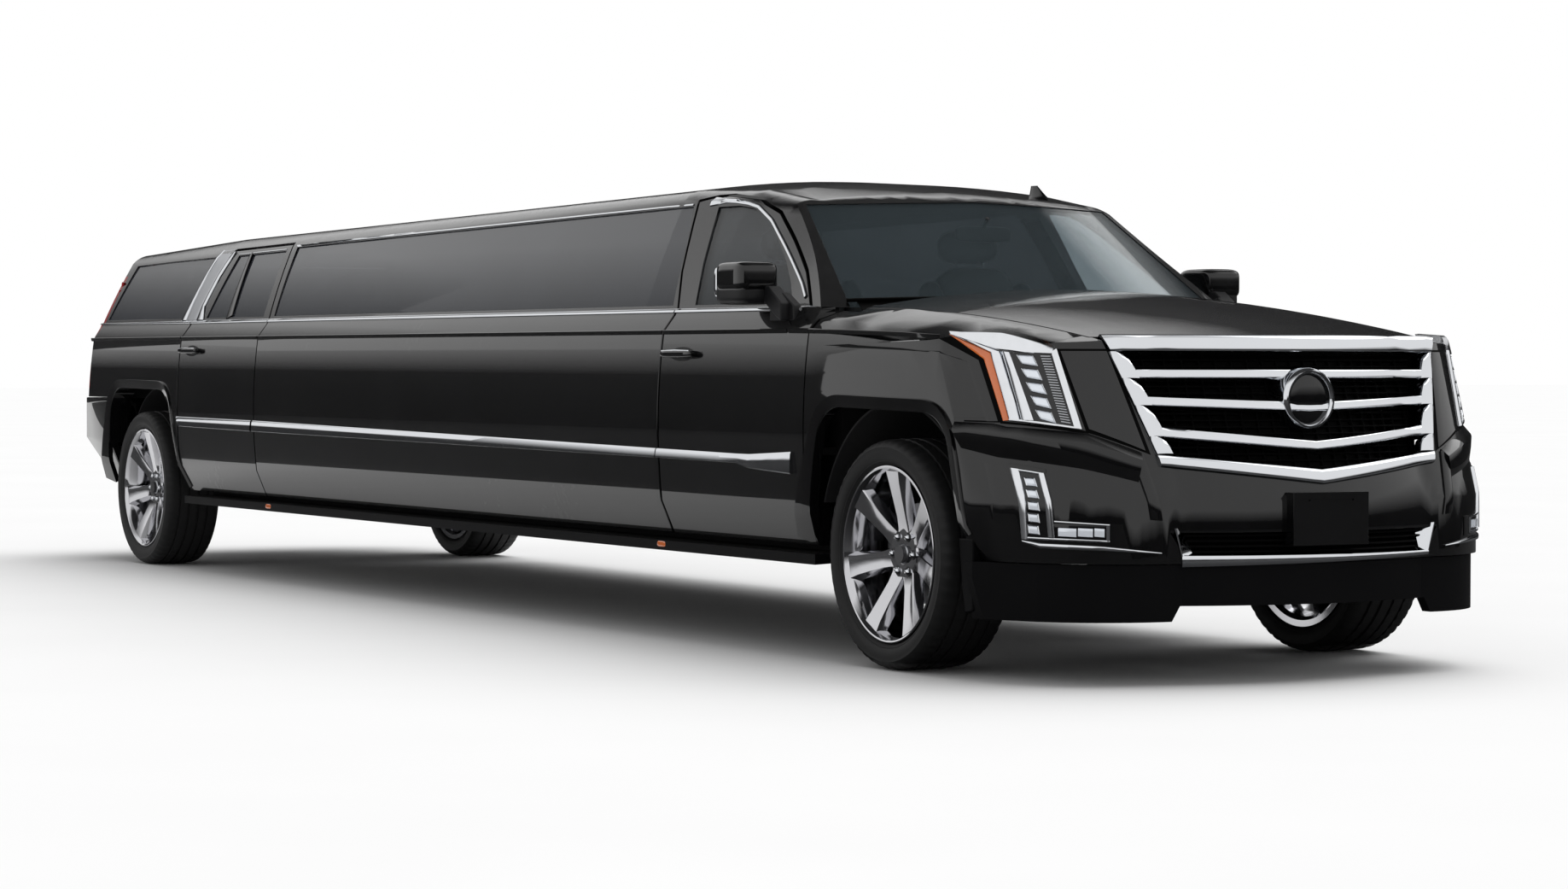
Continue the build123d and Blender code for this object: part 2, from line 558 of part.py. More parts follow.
def knuckle():
    """The right front hub carrier: upright, two kingpin bores and the spindle that carries the wheel."""
    y = -KINGPIN_Y
    body = block(-45.0, 45.0, y - 62.0, y + 26.0, HUB_Z - 60.0, HUB_Z + 60.0)
    for z0, z1 in ((HUB_Z - 130.0, HUB_Z - 55.0), (HUB_Z + 55.0, HUB_Z + 130.0)):
        body += block(-26.0, 26.0, y - 32.0, y + 26.0, z0, z1)
    body -= rod_z(0, y, STEER_PIN_R + RUNNING, HUB_Z - 140.0, HUB_Z - 80.0)
    body -= rod_z(0, y, STEER_PIN_R + RUNNING, HUB_Z + 80.0, HUB_Z + 140.0)
    body += rod_y(0, HUB_Z, SPINDLE_R, -TRACK / 2 - 84.0, y - 40.0)
    body += rod_y(0, HUB_Z, 52.0, -TRACK / 2 - 3.0, y - 50.0)
    body += block(-170.0, -30.0, y - 14.0, y + 26.0, HUB_Z - 30.0, HUB_Z + 10.0)
    return body


# ---------------------------------------------------------------- under the body
def chassis_frame():
    """Two long rails with jack pads, the cross members between them and the outriggers beside them."""
    z0, z1 = RAIL_Z
    inner, outer = RAIL_Y - RAIL_HALF, RAIL_Y + RAIL_HALF
    pieces = [block(x - 45.0, x + 45.0, -inner, inner, z0 + 10.0, z1 - 10.0) for x in CROSS_MEMBERS]
    for _, s in SIDES:
        pieces.append(side_block(*RAIL_X, s, inner, outer, z0, z1))
        pieces.append(side_block(JACK_PAD_X - 60.0, JACK_PAD_X + 60.0, s, inner, outer, z0 - JACK_PAD_DEPTH, z0))
        pieces += [side_block(x - 60.0, x + 60.0, s, outer, 738.0, z0 + 20.0, z1) for x in OUTRIGGERS]
    return Compound(children=pieces)


def tow_receiver():
    """Square receiver tube at the tail, open to the rear, with a cross pin hole, on its cross bar."""
    half, inner = TOW_SIDE / 2, TOW_BORE / 2
    x0, x1 = TOW_X
    shape = block(x0, x1, -half, half, TOW_Z - half, TOW_Z + half)
    shape -= block(x0 - 1.0, x1 + 1.0, -inner, inner, TOW_Z - inner, TOW_Z + inner)
    shape -= rod_y(TOW_PIN_X, TOW_Z, TOW_PIN_R, -half - 1.0, half + 1.0)
    bar = block(x1, x1 + TOW_SIDE, -RAIL_Y, RAIL_Y, TOW_Z - half, RAIL_Z[0])
    return Compound(children=[shape, bar])


def front_suspension():
    """Cross member, upper and lower arms, and the kingpins that carry the hub carriers."""
    shape = block(-110.0, 110.0, -490.0, 490.0, 250.0, 330.0)
    for s in (-1, 1):
        for zp, up in ((HUB_Z - 156.0, 1), (HUB_Z + 132.0, -1)):
            arm = along_z([(-130.0, s * 484.0), (130.0, s * 484.0), (34.0, s * (KINGPIN_Y + 20.0)),
                           (-34.0, s * (KINGPIN_Y + 20.0))], zp, zp + 24.0)
            pin_z = (zp + 10.0, zp + 66.0) if up > 0 else (zp - 42.0, zp + 10.0)
            arm += rod_z(0, s * KINGPIN_Y, STEER_PIN_R, *pin_z)
            shape += arm
        shape += side_block(-100.0, 100.0, s, 483.0, 505.0, 239.0, 551.0)
    return shape


def rear_axle():
    """Axle tube with its differential, spindles, leaf packs and the drive shaft from the engine."""
    x = X_REAR_AXLE
    shape = rod_y(x, HUB_Z, 48.0, -TRACK / 2 + 3.0, TRACK / 2 - 3.0)
    shape += rod_y(x, HUB_Z, SPINDLE_R, -TRACK / 2 - 84.0, TRACK / 2 + 84.0)
    shape += Pos(x, 60.0, HUB_Z) * Sphere(135.0)
    for s in (-1, 1):
        shape += block(x - 90.0, x + 90.0, s * RAIL_Y - 35.0, s * RAIL_Y + 35.0, HUB_Z - 10.0, RAIL_Z[0])
    shape += rod_x(60.0, HUB_Z, 42.0, x, -900.0)
    return shape


def exhaust_system():
    """Down pipe, long pipe beside the right rail, silencer and tail pipe."""
    y, z = -270.0, 385.0
    shape = rod_x(y, z, 32.0, -6750.0, -950.0)
    shape += Pos(-6150.0, y, z) * Box(800.0, 200.0, 100.0)
    shape += rod_x(y, z, 32.0, -7100.0, -6700.0)
    shape += block(-960.0, -900.0, y - 34.0, y + 34.0, z - 34.0, 440.0)
    return shape


def running_boards():
    """Boards below the sills on brackets from the frame."""
    right = along_x([(-1000.0, 335.0), (-780.0, 345.0), (-780.0, 372.0), (-1000.0, 372.0)], -6890.0, -500.0)
    for x in (-6700.0, -5400.0, -4100.0, -2800.0, -1500.0, -650.0):
        right += block(x - 30.0, x + 30.0, -830.0, -770.0, 345.0, 402.0)
    return both(right)


# ---------------------------------------------------------------- cabin
def front_seat(y):
    """One front seat: cushion, back and head rest on a base."""
    shape = block(-1560.0, -1080.0, y - 250.0, y + 250.0, FLOOR_Z[1], 760.0)
    shape += block(-1570.0, -1050.0, y - 260.0, y + 260.0, 760.0, 880.0)
    squab = [(-1480.0, 860.0), (-1600.0, 860.0), (-1760.0, 1430.0), (-1650.0, 1430.0)]
    pillow = [(-1655.0, 1430.0), (-1745.0, 1430.0), (-1790.0, 1580.0), (-1705.0, 1580.0)]
    back = along_y(squab, y - 250.0, y + 250.0)
    rest = along_y(pillow, y - 120.0, y + 120.0)
    return shape + back + rest


def lounge_seat():
    """A bench along the left side joined to a bench across the rear."""
    plan = [(-2150.0, 800.0), (-2150.0, 300.0), (-6350.0, 300.0),
            (-6350.0, -800.0), (-6950.0, -800.0), (-6950.0, 800.0)]
    seat = along_z(plan, FLOOR_Z[1], 900.0)
    side_back = block(-6350.0, -2150.0, 640.0, 800.0, 900.0, 1235.0)
    rear_back = block(-6950.0, -6800.0, -800.0, 800.0, 900.0, 1330.0)
    return seat + side_back + rear_back


def bar_cabinet():
    """A low bar along the right side with a worktop."""
    shape = block(-5600.0, -2300.0, -840.0, -520.0, FLOOR_Z[1], 1050.0)
    return shape + block(-5630.0, -2270.0, -840.0, -490.0, 1050.0, 1085.0)


def steering_wheel():
    """Rim, spokes, boss and column of the steering wheel, on the left."""
    wheel = Torus(185.0, 15.0) + Cylinder(52.0, 44.0)
    wheel += Box(380.0, 34.0, 20.0) + Pos(0, -92.0, 0) * Box(34.0, 190.0, 20.0)
    column = Pos(0, 0, -160.0) * Cylinder(30.0, 300.0)
    tilt = 62.0
    return Pos(-1020.0, 400.0, 1075.0) * Rot(0, -tilt, 0) * Rot(0, 0, 90) * (wheel + column)


def dashboard():
    """The dashboard with its lower panel, set behind the firewall."""
    face = [(-640.0, 1205.0), (-880.0, 1180.0), (-935.0, 1110.0),
            (-900.0, 960.0), (-860.0, 780.0), (-640.0, 760.0)]
    return along_y(face, -820.0, 820.0) - steering_wheel()


# ---------------------------------------------------------------- the assembly
def body_panels(m, parts):
    """All panels of the body, its glass and its doors."""
    arches = arch_cut(0.0, FRONT_ARCH) + arch_cut(X_REAR_AXLE, REAR_ARCH)
    foot = along_y([(-6960.0, 620.0), (-6885.0, 380.0), (-7200.0, 380.0), (-7200.0, 620.0)], -BODY_Y, 0.0)
    front_door, front_pane, front_bracket = door(m, X_DOOR_FRONT, X_DOOR_REAR, FRONT_FRAME, FRONT_GLASS, foot)
    rear_door, rear_pane, rear_bracket = door(
        m, X_REAR_DOOR_FRONT, X_REAR_DOOR_REAR, REAR_FRAME, REAR_GLASS, foot)
    mirror = largest(mirror_pod() - front_door)
    for name, shape in (("front_door", front_door), ("front_door_glass", front_pane),
                        ("rear_door", rear_door), ("rear_door_glass", rear_pane), ("mirror", mirror)):
        parts[name + "_right"] = shape
        parts[name + "_left"] = mirrored(shape)

    right_half = block(-9000.0, 2000.0, -BODY_Y, 0.0, 0.0, 2000.0)
    inboard = inside_plan(ROOF_JOINT, 0.0)
    tail_region = along_x(TAIL_OPENING, -9000.0, -8050.0)
    tail_gap = along_x(inset(TAIL_OPENING, -GAP), -9000.0, -8040.0)

    ends = X_REAR_DOOR_FRONT + GAP / 2, X_DOOR_REAR - GAP / 2
    side = m.low_wall & block(*ends, -BODY_Y, -400.0, Z_EDGE, Z_BELT)
    parts["side_panels"] = both(side)

    ahead_x = X_REAR_DOOR_REAR - GAP / 2
    quarter = m.low_wall & block(-9000.0, ahead_x, -BODY_Y, 0.0, Z_EDGE, Z_BELT)
    quarter += m.low_wall & block(ahead_x - 10.0, -6870.0, -BODY_Y, 0.0, Z_EDGE, 640.0) & along_y(
        [(-6970.0, 620.0), (-6895.0, 380.0), (-7200.0, 380.0), (-7200.0, 620.0)], -BODY_Y, 0.0)
    quarter = quarter - arches - tail_gap - rear_bumper_space() - lamp_space()
    parts["quarter_panels"] = both(largest(quarter))

    glass_cut = along_y(LONG_GLASS, -BODY_Y, -500.0) + along_y(QUARTER_GLASS, -BODY_Y, -500.0)
    frame_gaps = side_prism(FRONT_FRAME, FRAME_GAP / 2, -BODY_Y, 0.0)
    frame_gaps += side_prism(REAR_FRAME, FRAME_GAP / 2, -BODY_Y, 0.0)
    frame_gaps -= inside_plan(FRAME_INNER, FRAME_GAP)
    screen_cut = along_x(SCREEN_OPENING, -1400.0, 0.0)
    cab = (m.top_wall & right_half) - inboard - glass_cut - frame_gaps - screen_cut - tail_gap - lamp_space()
    parts["cab_frame"] = both(largest(cab))
    parts["roof_panel"] = largest((m.top_wall & inboard) - screen_cut - tail_gap)
    panes = m.glazing & (along_y(LONG_GLASS, -BODY_Y, -500.0) + along_y(QUARTER_GLASS, -BODY_Y, -500.0))
    parts["side_windows"] = both(panes)
    parts["windshield"] = largest(m.glazing & along_x(SCREEN_OPENING, -1400.0, 0.0) & behind_screen(-1.0))

    gate = (m.low_wall + m.top_wall) & tail_region
    gate_hole = along_x(TAIL_GLASS, -9000.0, -8050.0)
    parts["tailgate"] = largest(gate - gate_hole)
    parts["tailgate_glass"] = largest(m.glazing & gate_hole)
    parts["tail_lamps"] = both(((m.low_wall + m.top_wall) & lamp_space()) - tail_gap)
    parts["rear_bumper"] = rear_bumper()

    hood = (m.hood_skin & hood_plan(0.0)) - hood_knuckle_space()
    lug, hook = hood_hinge()
    parts["hood"] = hood + lug + mirrored(lug)

    lamp = along_x(LAMP, 200.0, 1300.0) & along_y(LAMP_BACK, 0.0, BODY_Y)
    lamp = mirrored(lamp)
    corner = mirrored(along_x(CORNER_LAMP, 600.0, 1300.0))
    grille_cut = along_x(GRILLE, 500.0, 1300.0)
    intake = along_x(INTAKE, 700.0, 1300.0)
    front_half = block(-1000.0, 1300.0, -BODY_Y, 0.0, 0.0, 1500.0)
    face = m.front_wall - hood_plan(HOOD_GAP)
    ahead = face - grille_cut
    right = ahead & front_half
    above = along_y([(X_MEET, 1500.0), (X_MEET, 300.0), (FENDER_FOOT, 300.0), (FENDER_FOOT, BUMPER_TOP),
                     (FENDER_NOSE, BUMPER_TOP), (FENDER_NOSE, 1500.0)], -BODY_Y, 0.0)
    fender = (right & above) - lamp - arches - block(-1000.0, -428.0, -864.0, 0.0, 1100.0, 1400.0)
    parts["fenders"] = both(largest(fender))
    bumper = ahead - intake - arches
    bumper -= block(-1000.0, FENDER_FOOT, -BODY_Y, BODY_Y, 0.0, 1500.0)
    bumper -= block(FENDER_FOOT, FENDER_NOSE, -BODY_Y, BODY_Y, BUMPER_TOP, 1500.0)
    bumper = bumper - lamp - mirrored(lamp) - corner - mirrored(corner)
    parts["front_bumper"] = with_plate(largest(bumper), FRONT_PLATE, -1)
    parts["headlamps"] = both(largest(face & lamp & front_half))
    parts["corner_lamps"] = both(largest(m.front_wall & corner))
    parts["grille"], parts["grille_backing"] = grille(face)
    parts["front_valance"] = valance(m)
    parts["cowl_firewall"] = cowl(hook, front_bracket)
    parts["floor_pan"] = floor_pan(rear_bracket)


def largest(shape):
    """The largest solid of a shape, without the slivers that a cut may leave."""
    return max(shape.solids(), key=lambda s: s.volume)


def mirror_pod():
    """Right door mirror: a squared pod on an arm from the door's front corner."""
    pod = block(-1040.0, -822.0, -1106.0, -962.0, 1262.0, 1408.0)
    pod = fillet(pod.edges().filter_by(Axis.Y), 38.0)
    arm = along_x([(-1030.0, 1275.0), (-940.0, 1195.0), (-940.0, 1236.0), (-1030.0, 1330.0)], -880.0, -725.0)
    foot = block(-880.0, -690.0, -972.0, -940.0, 1180.0, 1262.0)
    return pod + arm + foot


def plate_holder(face_x, z, inward):
    """Pad for a number plate with two bolt holes; inward is the direction from its face into the body."""
    wide, high = PLATE
    far = face_x + inward * 45.0
    pad = block(min(face_x, far), max(face_x, far), -wide / 2, wide / 2, z - high / 2, z + high / 2)
    holes = []
    for y in (-PLATE_BOLTS / 2, PLATE_BOLTS / 2):
        holes.append(rod_x(y, z + PLATE_BOLT_UP, PLATE_HOLE_R, face_x - 100.0, face_x + 100.0))
    return pad, holes


def with_plate(bumper, place, inward):
    """The bumper with a plate holder fused to it and drilled."""
    pad, holes = plate_holder(*place, inward)
    bumper = bumper + pad
    for hole in holes:
        bumper -= hole
    return bumper


def lamp_space():
    """Space of the right tail lamp, from the shoulder to under the roof."""
    return along_x([(-BODY_Y, 905.0), (-830.0, 905.0), (-846.0, 1245.0), (-757.0, 1500.0), (-BODY_Y, 1500.0)],
                   -9000.0, TAIL_LAMP_X)


def rear_bumper_space():
    """Everything behind the wheel arch below the bumper's top."""
    return block(-9000.0, -7994.0, -BODY_Y, BODY_Y, 0.0, BUMPER_Z[2] + 6.0)


def bumper_outline(d, z):
    """Plan of the rear bumper at height z, drawn in by d: bowed rear and sides that run forward."""
    side = [(x + d * 1.4, y - d, z) for x, y in BUMPER_PLAN]
    far = [(x, -y, z) for x, y, z in side]
    bow = Edge.make_three_point_arc(side[-1], (BUMPER_BACK + d, 0, z), far[-1])
    front = BUMPER_FRONT + BUMPER_SPARE
    loop = Wire.make_polygon([*reversed(far), (front, far[0][1], z), (front, side[0][1], z), *side],
                             close=False)
    return Wire([bow, *loop.edges()])


def bumper_volume(d, top):
    """The rear bumper's volume drawn in by d: a tucked-in lower band and an upright band up to top."""
    low, crease = BUMPER_Z[0], BUMPER_Z[1]
    band = Solid.make_loft([bumper_outline(d + BUMPER_TUCK, low), bumper_outline(d, crease)], ruled=True)
    return band + Solid.extrude(Face(bumper_outline(d, crease)), Vector(0, 0, top - crease))


def rear_bumper():
    """Bumper cover round the tail: flat top step, bowed rear and sides back to the wheel arches."""
    shell = bumper_volume(0.0, BUMPER_Z[2]) - bumper_volume(BUMPER_WALL, BUMPER_Z[2] - 30.0)
    shell -= block(BUMPER_FRONT, BUMPER_FRONT + 2 * BUMPER_SPARE, -1200.0, 1200.0, 0.0, 1000.0)
    shell -= arch_cut(X_REAR_AXLE, REAR_ARCH)
    inner_y = 990.0 - BUMPER_WALL
    shell -= block(-8480.0, -7000.0, -inner_y, inner_y, 700.0, 900.0)
    return with_plate(largest(shell), REAR_PLATE, 1)


def hood_knuckle_space():
    """Clear space in the hood's underside round its two hinges."""
    x, z = HOOD_AXIS
    return rod_y(x, z, 16.0, 700.0, 830.0) + rod_y(x, z, 16.0, -830.0, -700.0)


def hood_hinge():
    """Right-hand hood knuckle and the hook that the cowl holds it with."""
    x, z = HOOD_AXIS
    inner, outer = HOOD_KNUCKLE_Y
    lug = rod_y(x, z, HOOD_KNUCKLE_R, -outer, -inner)
    lug += block(x, x + 40.0, -outer, -inner, z - HOOD_KNUCKLE_R, z + 8.0)
    lug -= rod_y(x, z, HOOD_PIN_R + RUNNING, -outer - 30.0, -inner + 30.0)
    hook = rod_y(x, z, HOOD_PIN_R, -outer - 30.0, -inner + 30.0)
    for y0, y1 in ((-outer - 30.0, -outer - 8.0), (-inner + 8.0, -inner + 30.0)):
        hook += rod_y(x, z, HOOD_KNUCKLE_R, y0, y1)
        hook += block(x - HOOD_KNUCKLE_R, x + HOOD_KNUCKLE_R, y0, y1, 1180.0, z)
    return lug, hook


def cowl(hook, bracket):
    """Firewall, cowl top and the pillars that carry the front door hinges."""
    shape = block(-640.0, -600.0, -872.0, 872.0, FLOOR_Z[1], 1232.0)
    shape += block(-640.0, -430.0, -872.0, 872.0, 1150.0, 1185.0)
    for s in (-1, 1):
        shape += side_block(-640.0, -530.0, s, 780.0, 872.0, FLOOR_Z[1], 1150.0)
        shape += side_block(-700.0, -639.0, s, 824.0, 868.0, FLOOR_Z[1], Z_BELT)
    for held in (bracket, hook):
        shape = shape + held + mirrored(held)
    return shape


def floor_pan(bracket):
    """Cabin floor, sills and the posts that carry the rear door hinges."""
    z0, z1 = FLOOR_Z
    shape = block(-8300.0, -600.0, -890.0, 890.0, z0, z1)
    well = X_REAR_AXLE - 530.0, X_REAR_AXLE + 530.0
    for s in (-1, 1):
        shape += side_block(-6800.0, -660.0, s, 740.0, 830.0, 402.0, z0)
        shape += side_block(-5900.0, -5800.0, s, 812.0, 872.0, z1, 1150.0)
        shape -= side_block(*well, s, 690.0, 900.0, z0 - 10.0, z1 + 10.0)
    return shape + bracket + mirrored(bracket)


def wheel_liners():
    """Arched liners over the four wheels."""
    pieces = []
    for axle, low_y, high_y in ((0.0, 545.0, 966.0), (X_REAR_AXLE, 700.0, 905.0)):
        ring = tube_y(axle, HUB_Z, 522.0, 514.0, -high_y, -low_y)
        pieces += [ring & block(axle - 600.0, axle + 600.0, -1100.0, 0.0, HUB_Z + 160.0, 1000.0)]
    return Compound(children=[s for p in pieces for s in (*p.solids(), *mirrored(p).solids())])


def grille(face):
    """Chrome grille frame with bars that dip to the centre and a ring; and its dark backing."""
    shape = (face & along_x(GRILLE, 500.0, 1300.0)) - along_x(GRILLE_OPENING, 500.0, 1300.0)
    field = along_x(inset(GRILLE, 20.0), 500.0, 1300.0)
    for z, dip in GRILLE_BARS:
        low, high, reach = z - BAR_HALF, z + BAR_HALF, 640.0
        bar = [(-reach, high), (0.0, high - dip), (reach, high),
               (reach, low), (0.0, low - dip), (-reach, low)]
        shape += face & along_x(bar, 500.0, 1300.0) & field
    y, z, r = BADGE
    shape += rod_x(y, z, r, *BADGE_X)
    backing = (behind_nose(60.0) - behind_nose(72.0)) & along_x(inset(GRILLE, 18.0), 500.0, 1300.0)
    return largest(shape), largest(backing & below_hood(60.0))


def valance(m):
    """Dark lower lip under the front bumper with a lower lip at its outer thirds."""
    low = [(-975.0, 208.0), (-530.0, 212.0), (-500.0, 262.0), (500.0, 262.0), (530.0, 212.0), (975.0, 208.0)]
    lip = along_x([*low, (1000.0, Z_EDGE - 4.0), (-1000.0, Z_EDGE - 4.0)], FENDER_FOOT, 1200.0)
    shell = (behind_nose(12.0) - behind_nose(50.0)) & lip
    return largest(shell - arch_cut(0.0, FRONT_ARCH))


def build():
    """Every sub-part by name."""
    parts = {}
    m = Master()
    body_panels(m, parts)
    parts["chassis_frame"] = chassis_frame()
    parts["tow_receiver"] = tow_receiver()
    parts["engine_block"] = block(-480.0, 640.0, -330.0, 330.0, 560.0, 1060.0) + block(
        -300.0, 300.0, -230.0, 230.0, 345.0, 560.0) + block(-900.0, -300.0, -120.0, 120.0, 345.0, 540.0)
    parts["front_suspension"] = front_suspension()
    parts["rear_axle"] = rear_axle()
    parts["exhaust_system"] = exhaust_system()
    parts["fuel_tank"] = block(-5500.0, -4300.0, 490.0, 730.0, 400.0, 540.0)
    parts["running_boards"] = running_boards()
    parts["wheel_liners"] = wheel_liners()
    parts["dashboard"] = dashboard()
    parts["steering_wheel"] = steering_wheel()
    parts["front_seats"] = Compound(children=[*front_seat(-400.0).solids(), *front_seat(400.0).solids()])
    parts["partition"] = block(-1990.0, -1930.0, -825.0, 825.0, FLOOR_Z[1], 1240.0)
    parts["lounge_seat"] = lounge_seat()
    parts["bar_cabinet"] = bar_cabinet()
    right = knuckle()
    parts["knuckle_right"], parts["knuckle_left"] = right, mirrored(right)
    for place, x in (("front", 0.0), ("rear", X_REAR_AXLE)):
        for side, s in SIDES:
            parts[f"tyre_{place}_{side}"] = tyre(x, TRACK / 2, s)
            parts[f"rim_{place}_{side}"] = rim(x, TRACK / 2, s)
    return parts


def main():
    """Write one STEP file for each sub-part, moved to the part's frame."""
    os.makedirs("parts", exist_ok=True)
    for name, shape in build().items():
        export_step(shape.moved(Location((X_FRONT_AXLE, 0, 0))), f"parts/{name}.step")


if __name__ == "__main__":
    main()
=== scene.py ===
"""Looks of a stretch limousine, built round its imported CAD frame.

Sizes are millimetres from the front axle (x forward, y to the car's left, z up from the ground) until
`place` turns them into metres of the row frame. Everything that repeats left and right is drawn on the
car's right-hand side and mirrored.
"""
from __future__ import annotations

import json
import logging
import math
from dataclasses import dataclass
from enum import Enum
from typing import Any, Callable, Iterable, Sequence

import bmesh
import bpy
from mathutils import Matrix, Vector

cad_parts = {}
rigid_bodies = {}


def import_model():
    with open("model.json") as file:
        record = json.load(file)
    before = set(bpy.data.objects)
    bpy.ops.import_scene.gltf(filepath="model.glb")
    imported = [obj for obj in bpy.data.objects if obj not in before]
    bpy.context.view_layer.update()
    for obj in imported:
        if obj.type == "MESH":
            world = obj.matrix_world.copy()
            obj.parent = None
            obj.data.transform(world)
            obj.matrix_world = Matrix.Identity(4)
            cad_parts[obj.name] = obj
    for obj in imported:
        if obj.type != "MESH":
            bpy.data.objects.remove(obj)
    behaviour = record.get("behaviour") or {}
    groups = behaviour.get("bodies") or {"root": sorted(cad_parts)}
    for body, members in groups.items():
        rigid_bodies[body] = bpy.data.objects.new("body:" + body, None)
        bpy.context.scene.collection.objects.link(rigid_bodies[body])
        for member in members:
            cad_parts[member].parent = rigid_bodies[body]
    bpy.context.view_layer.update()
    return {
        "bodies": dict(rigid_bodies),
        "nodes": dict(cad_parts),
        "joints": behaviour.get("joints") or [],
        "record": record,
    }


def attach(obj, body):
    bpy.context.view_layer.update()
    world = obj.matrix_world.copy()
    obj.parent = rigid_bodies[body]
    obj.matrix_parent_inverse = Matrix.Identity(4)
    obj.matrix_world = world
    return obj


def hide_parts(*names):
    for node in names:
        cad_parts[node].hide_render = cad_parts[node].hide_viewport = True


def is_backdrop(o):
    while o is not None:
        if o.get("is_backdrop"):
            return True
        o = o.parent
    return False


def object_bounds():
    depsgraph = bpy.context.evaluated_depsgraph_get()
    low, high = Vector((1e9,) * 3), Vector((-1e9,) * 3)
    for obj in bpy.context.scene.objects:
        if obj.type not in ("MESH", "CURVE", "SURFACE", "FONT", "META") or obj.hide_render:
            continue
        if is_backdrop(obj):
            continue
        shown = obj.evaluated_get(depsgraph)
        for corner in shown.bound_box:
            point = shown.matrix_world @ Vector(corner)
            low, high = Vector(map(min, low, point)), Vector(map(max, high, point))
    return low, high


LOG = logging.getLogger("limousine")
FRONT_AXLE = 3785
REAR_AXLE = -7490
FRAME_WIDTH, FRAME_HEIGHT = 1837, 1041
EVEN = (1, 1, 1)
WHITE = (1, 1, 1)
NORMAL_STEP = 1.5
HALVINGS = 24
TIGHTEST_MITRE = 0.4
WELD = 0.00001
CAD_SHARP = 40
SHALLOW_CREASE = 30
SPLIT_EDGE = 0.00002

Pair = tuple[float, float]
Line = Sequence[Pair]
Triple = tuple[float, float, float]
Numbers = Sequence[float]


def place(x: float, y: float, z: float) -> Vector:
    """Millimetres from the front axle as metres in the row frame."""
    return Vector(((x + FRONT_AXLE) / 1000, y / 1000, z / 1000))


def mix(a: float, b: float, t: float) -> float:
    """The number a share t of the way from a to b."""
    return a + (b - a) * t


def along(points: Line, at: float, key: int = 0) -> float:
    """Other coordinate of a polyline at a value of its key coordinate.

    Args:
        points: rows in the order of the key coordinate, rising or falling.
        at: value of the key coordinate.
        key: which coordinate is the key.

    Returns:
        The other coordinate, carried on straight beyond both ends.
    """
    rows = sorted(points, key=lambda p: p[key])
    for a, b in zip(rows, rows[1:]):
        if at <= b[key]:
            break
    return mix(a[1 - key], b[1 - key], (at - a[key]) / (b[key] - a[key]))


def circle(a: Pair, b: Pair, c: Pair) -> Triple:
    """Centre and radius of the circle through three points."""
    ax, ay, bx, by = b[0] - a[0], b[1] - a[1], c[0] - a[0], c[1] - a[1]
    k = 2 * (ax * by - ay * bx)
    x = (by * (ax * ax + ay * ay) - ay * (bx * bx + by * by)) / k
    y = (ax * (bx * bx + by * by) - bx * (ax * ax + ay * ay)) / k
    return a[0] + x, a[1] + y, math.hypot(x, y)


def arc_at(a: Pair, b: Pair, c: Pair, second: float) -> float:
    """First coordinate of the arc through three points where its second coordinate is given."""
    x, y, r = circle(a, b, c)
    reach = math.sqrt(max(r * r - (second - y) ** 2, 0))
    return x + reach if b[0] > x else x - reach


def offset(line: Line, by: float, closed: bool = False) -> list[Pair]:
    """A polyline moved sideways, to the left of its direction for a positive distance."""
    n = len(line)
    out = []
    for i, p in enumerate(line):
        before = line[i - 1] if closed or i else line[0]
        after = line[(i + 1) % n] if closed or i < n - 1 else line[-1]
        a, b = Vector(p) - Vector(before), Vector(after) - Vector(p)
        a, b = (a or b).normalized(), (b or a).normalized()
        normal = Vector((-a.y - b.y, a.x + b.x)).normalized()
        spread = max(normal.dot(Vector((-a.y, a.x))), TIGHTEST_MITRE)
        out.append((p[0] + normal.x * by / spread, p[1] + normal.y * by / spread))
    return out


def rounded(corners: Line, radius: float, steps: int = 8) -> list[Pair]:
    """A polyline with its inner corners rounded."""
    out = [corners[0]]
    for before, at, after in zip(corners, corners[1:], corners[2:]):
        p, q, r = Vector(before), Vector(at), Vector(after)
        a, b = (p - q).normalized(), (r - q).normalized()
        half = a.angle(b) / 2
        reach = min(radius / math.tan(half), (p - q).length / 2, (r - q).length / 2)
        start, end = q + a * reach, q + b * reach
        for k in range(steps + 1):
            t = k / steps
            out.append(tuple(start * (1 - t) ** 2 + q * 2 * t * (1 - t) + end * t * t))
    return out + [corners[-1]]


def dense(low: Line, high: Line, step: float) -> tuple[list[Pair], list[Pair]]:
    """Two matching polylines with points added so that none lie further apart than a step."""
    more_low, more_high = [low[0]], [high[0]]
    for i in range(1, len(low)):
        size = max(math.dist(low[i - 1], low[i]), math.dist(high[i - 1], high[i]))
        n = max(1, math.ceil(size / step))
        for k in range(1, n + 1):
            for out, rows in ((more_low, low), (more_high, high)):
                out.append(tuple(mix(p, q, k / n) for p, q in zip(rows[i - 1], rows[i])))
    return more_low, more_high


# ---------- body surfaces
@dataclass(frozen=True)
class Surface:
    """A body surface given by two numbers, with a way to step off it.

    Attributes:
        at: point of the surface in millimetres.
        outward: a direction that points roughly away from the car.
    """

    at: Callable[[float, float], Vector]
    outward: Triple

    def point(self, u: float, v: float, lift: float = 0) -> Vector:
        """Point of the surface, lifted off it by a distance."""
        p = self.at(u, v)
        if not lift:
            return p
        normal = (self.at(u + NORMAL_STEP, v) - p).cross(self.at(u, v + NORMAL_STEP) - p).normalized()
        if normal.dot(Vector(self.outward)) < 0:
            normal.negate()
        return p + normal * lift


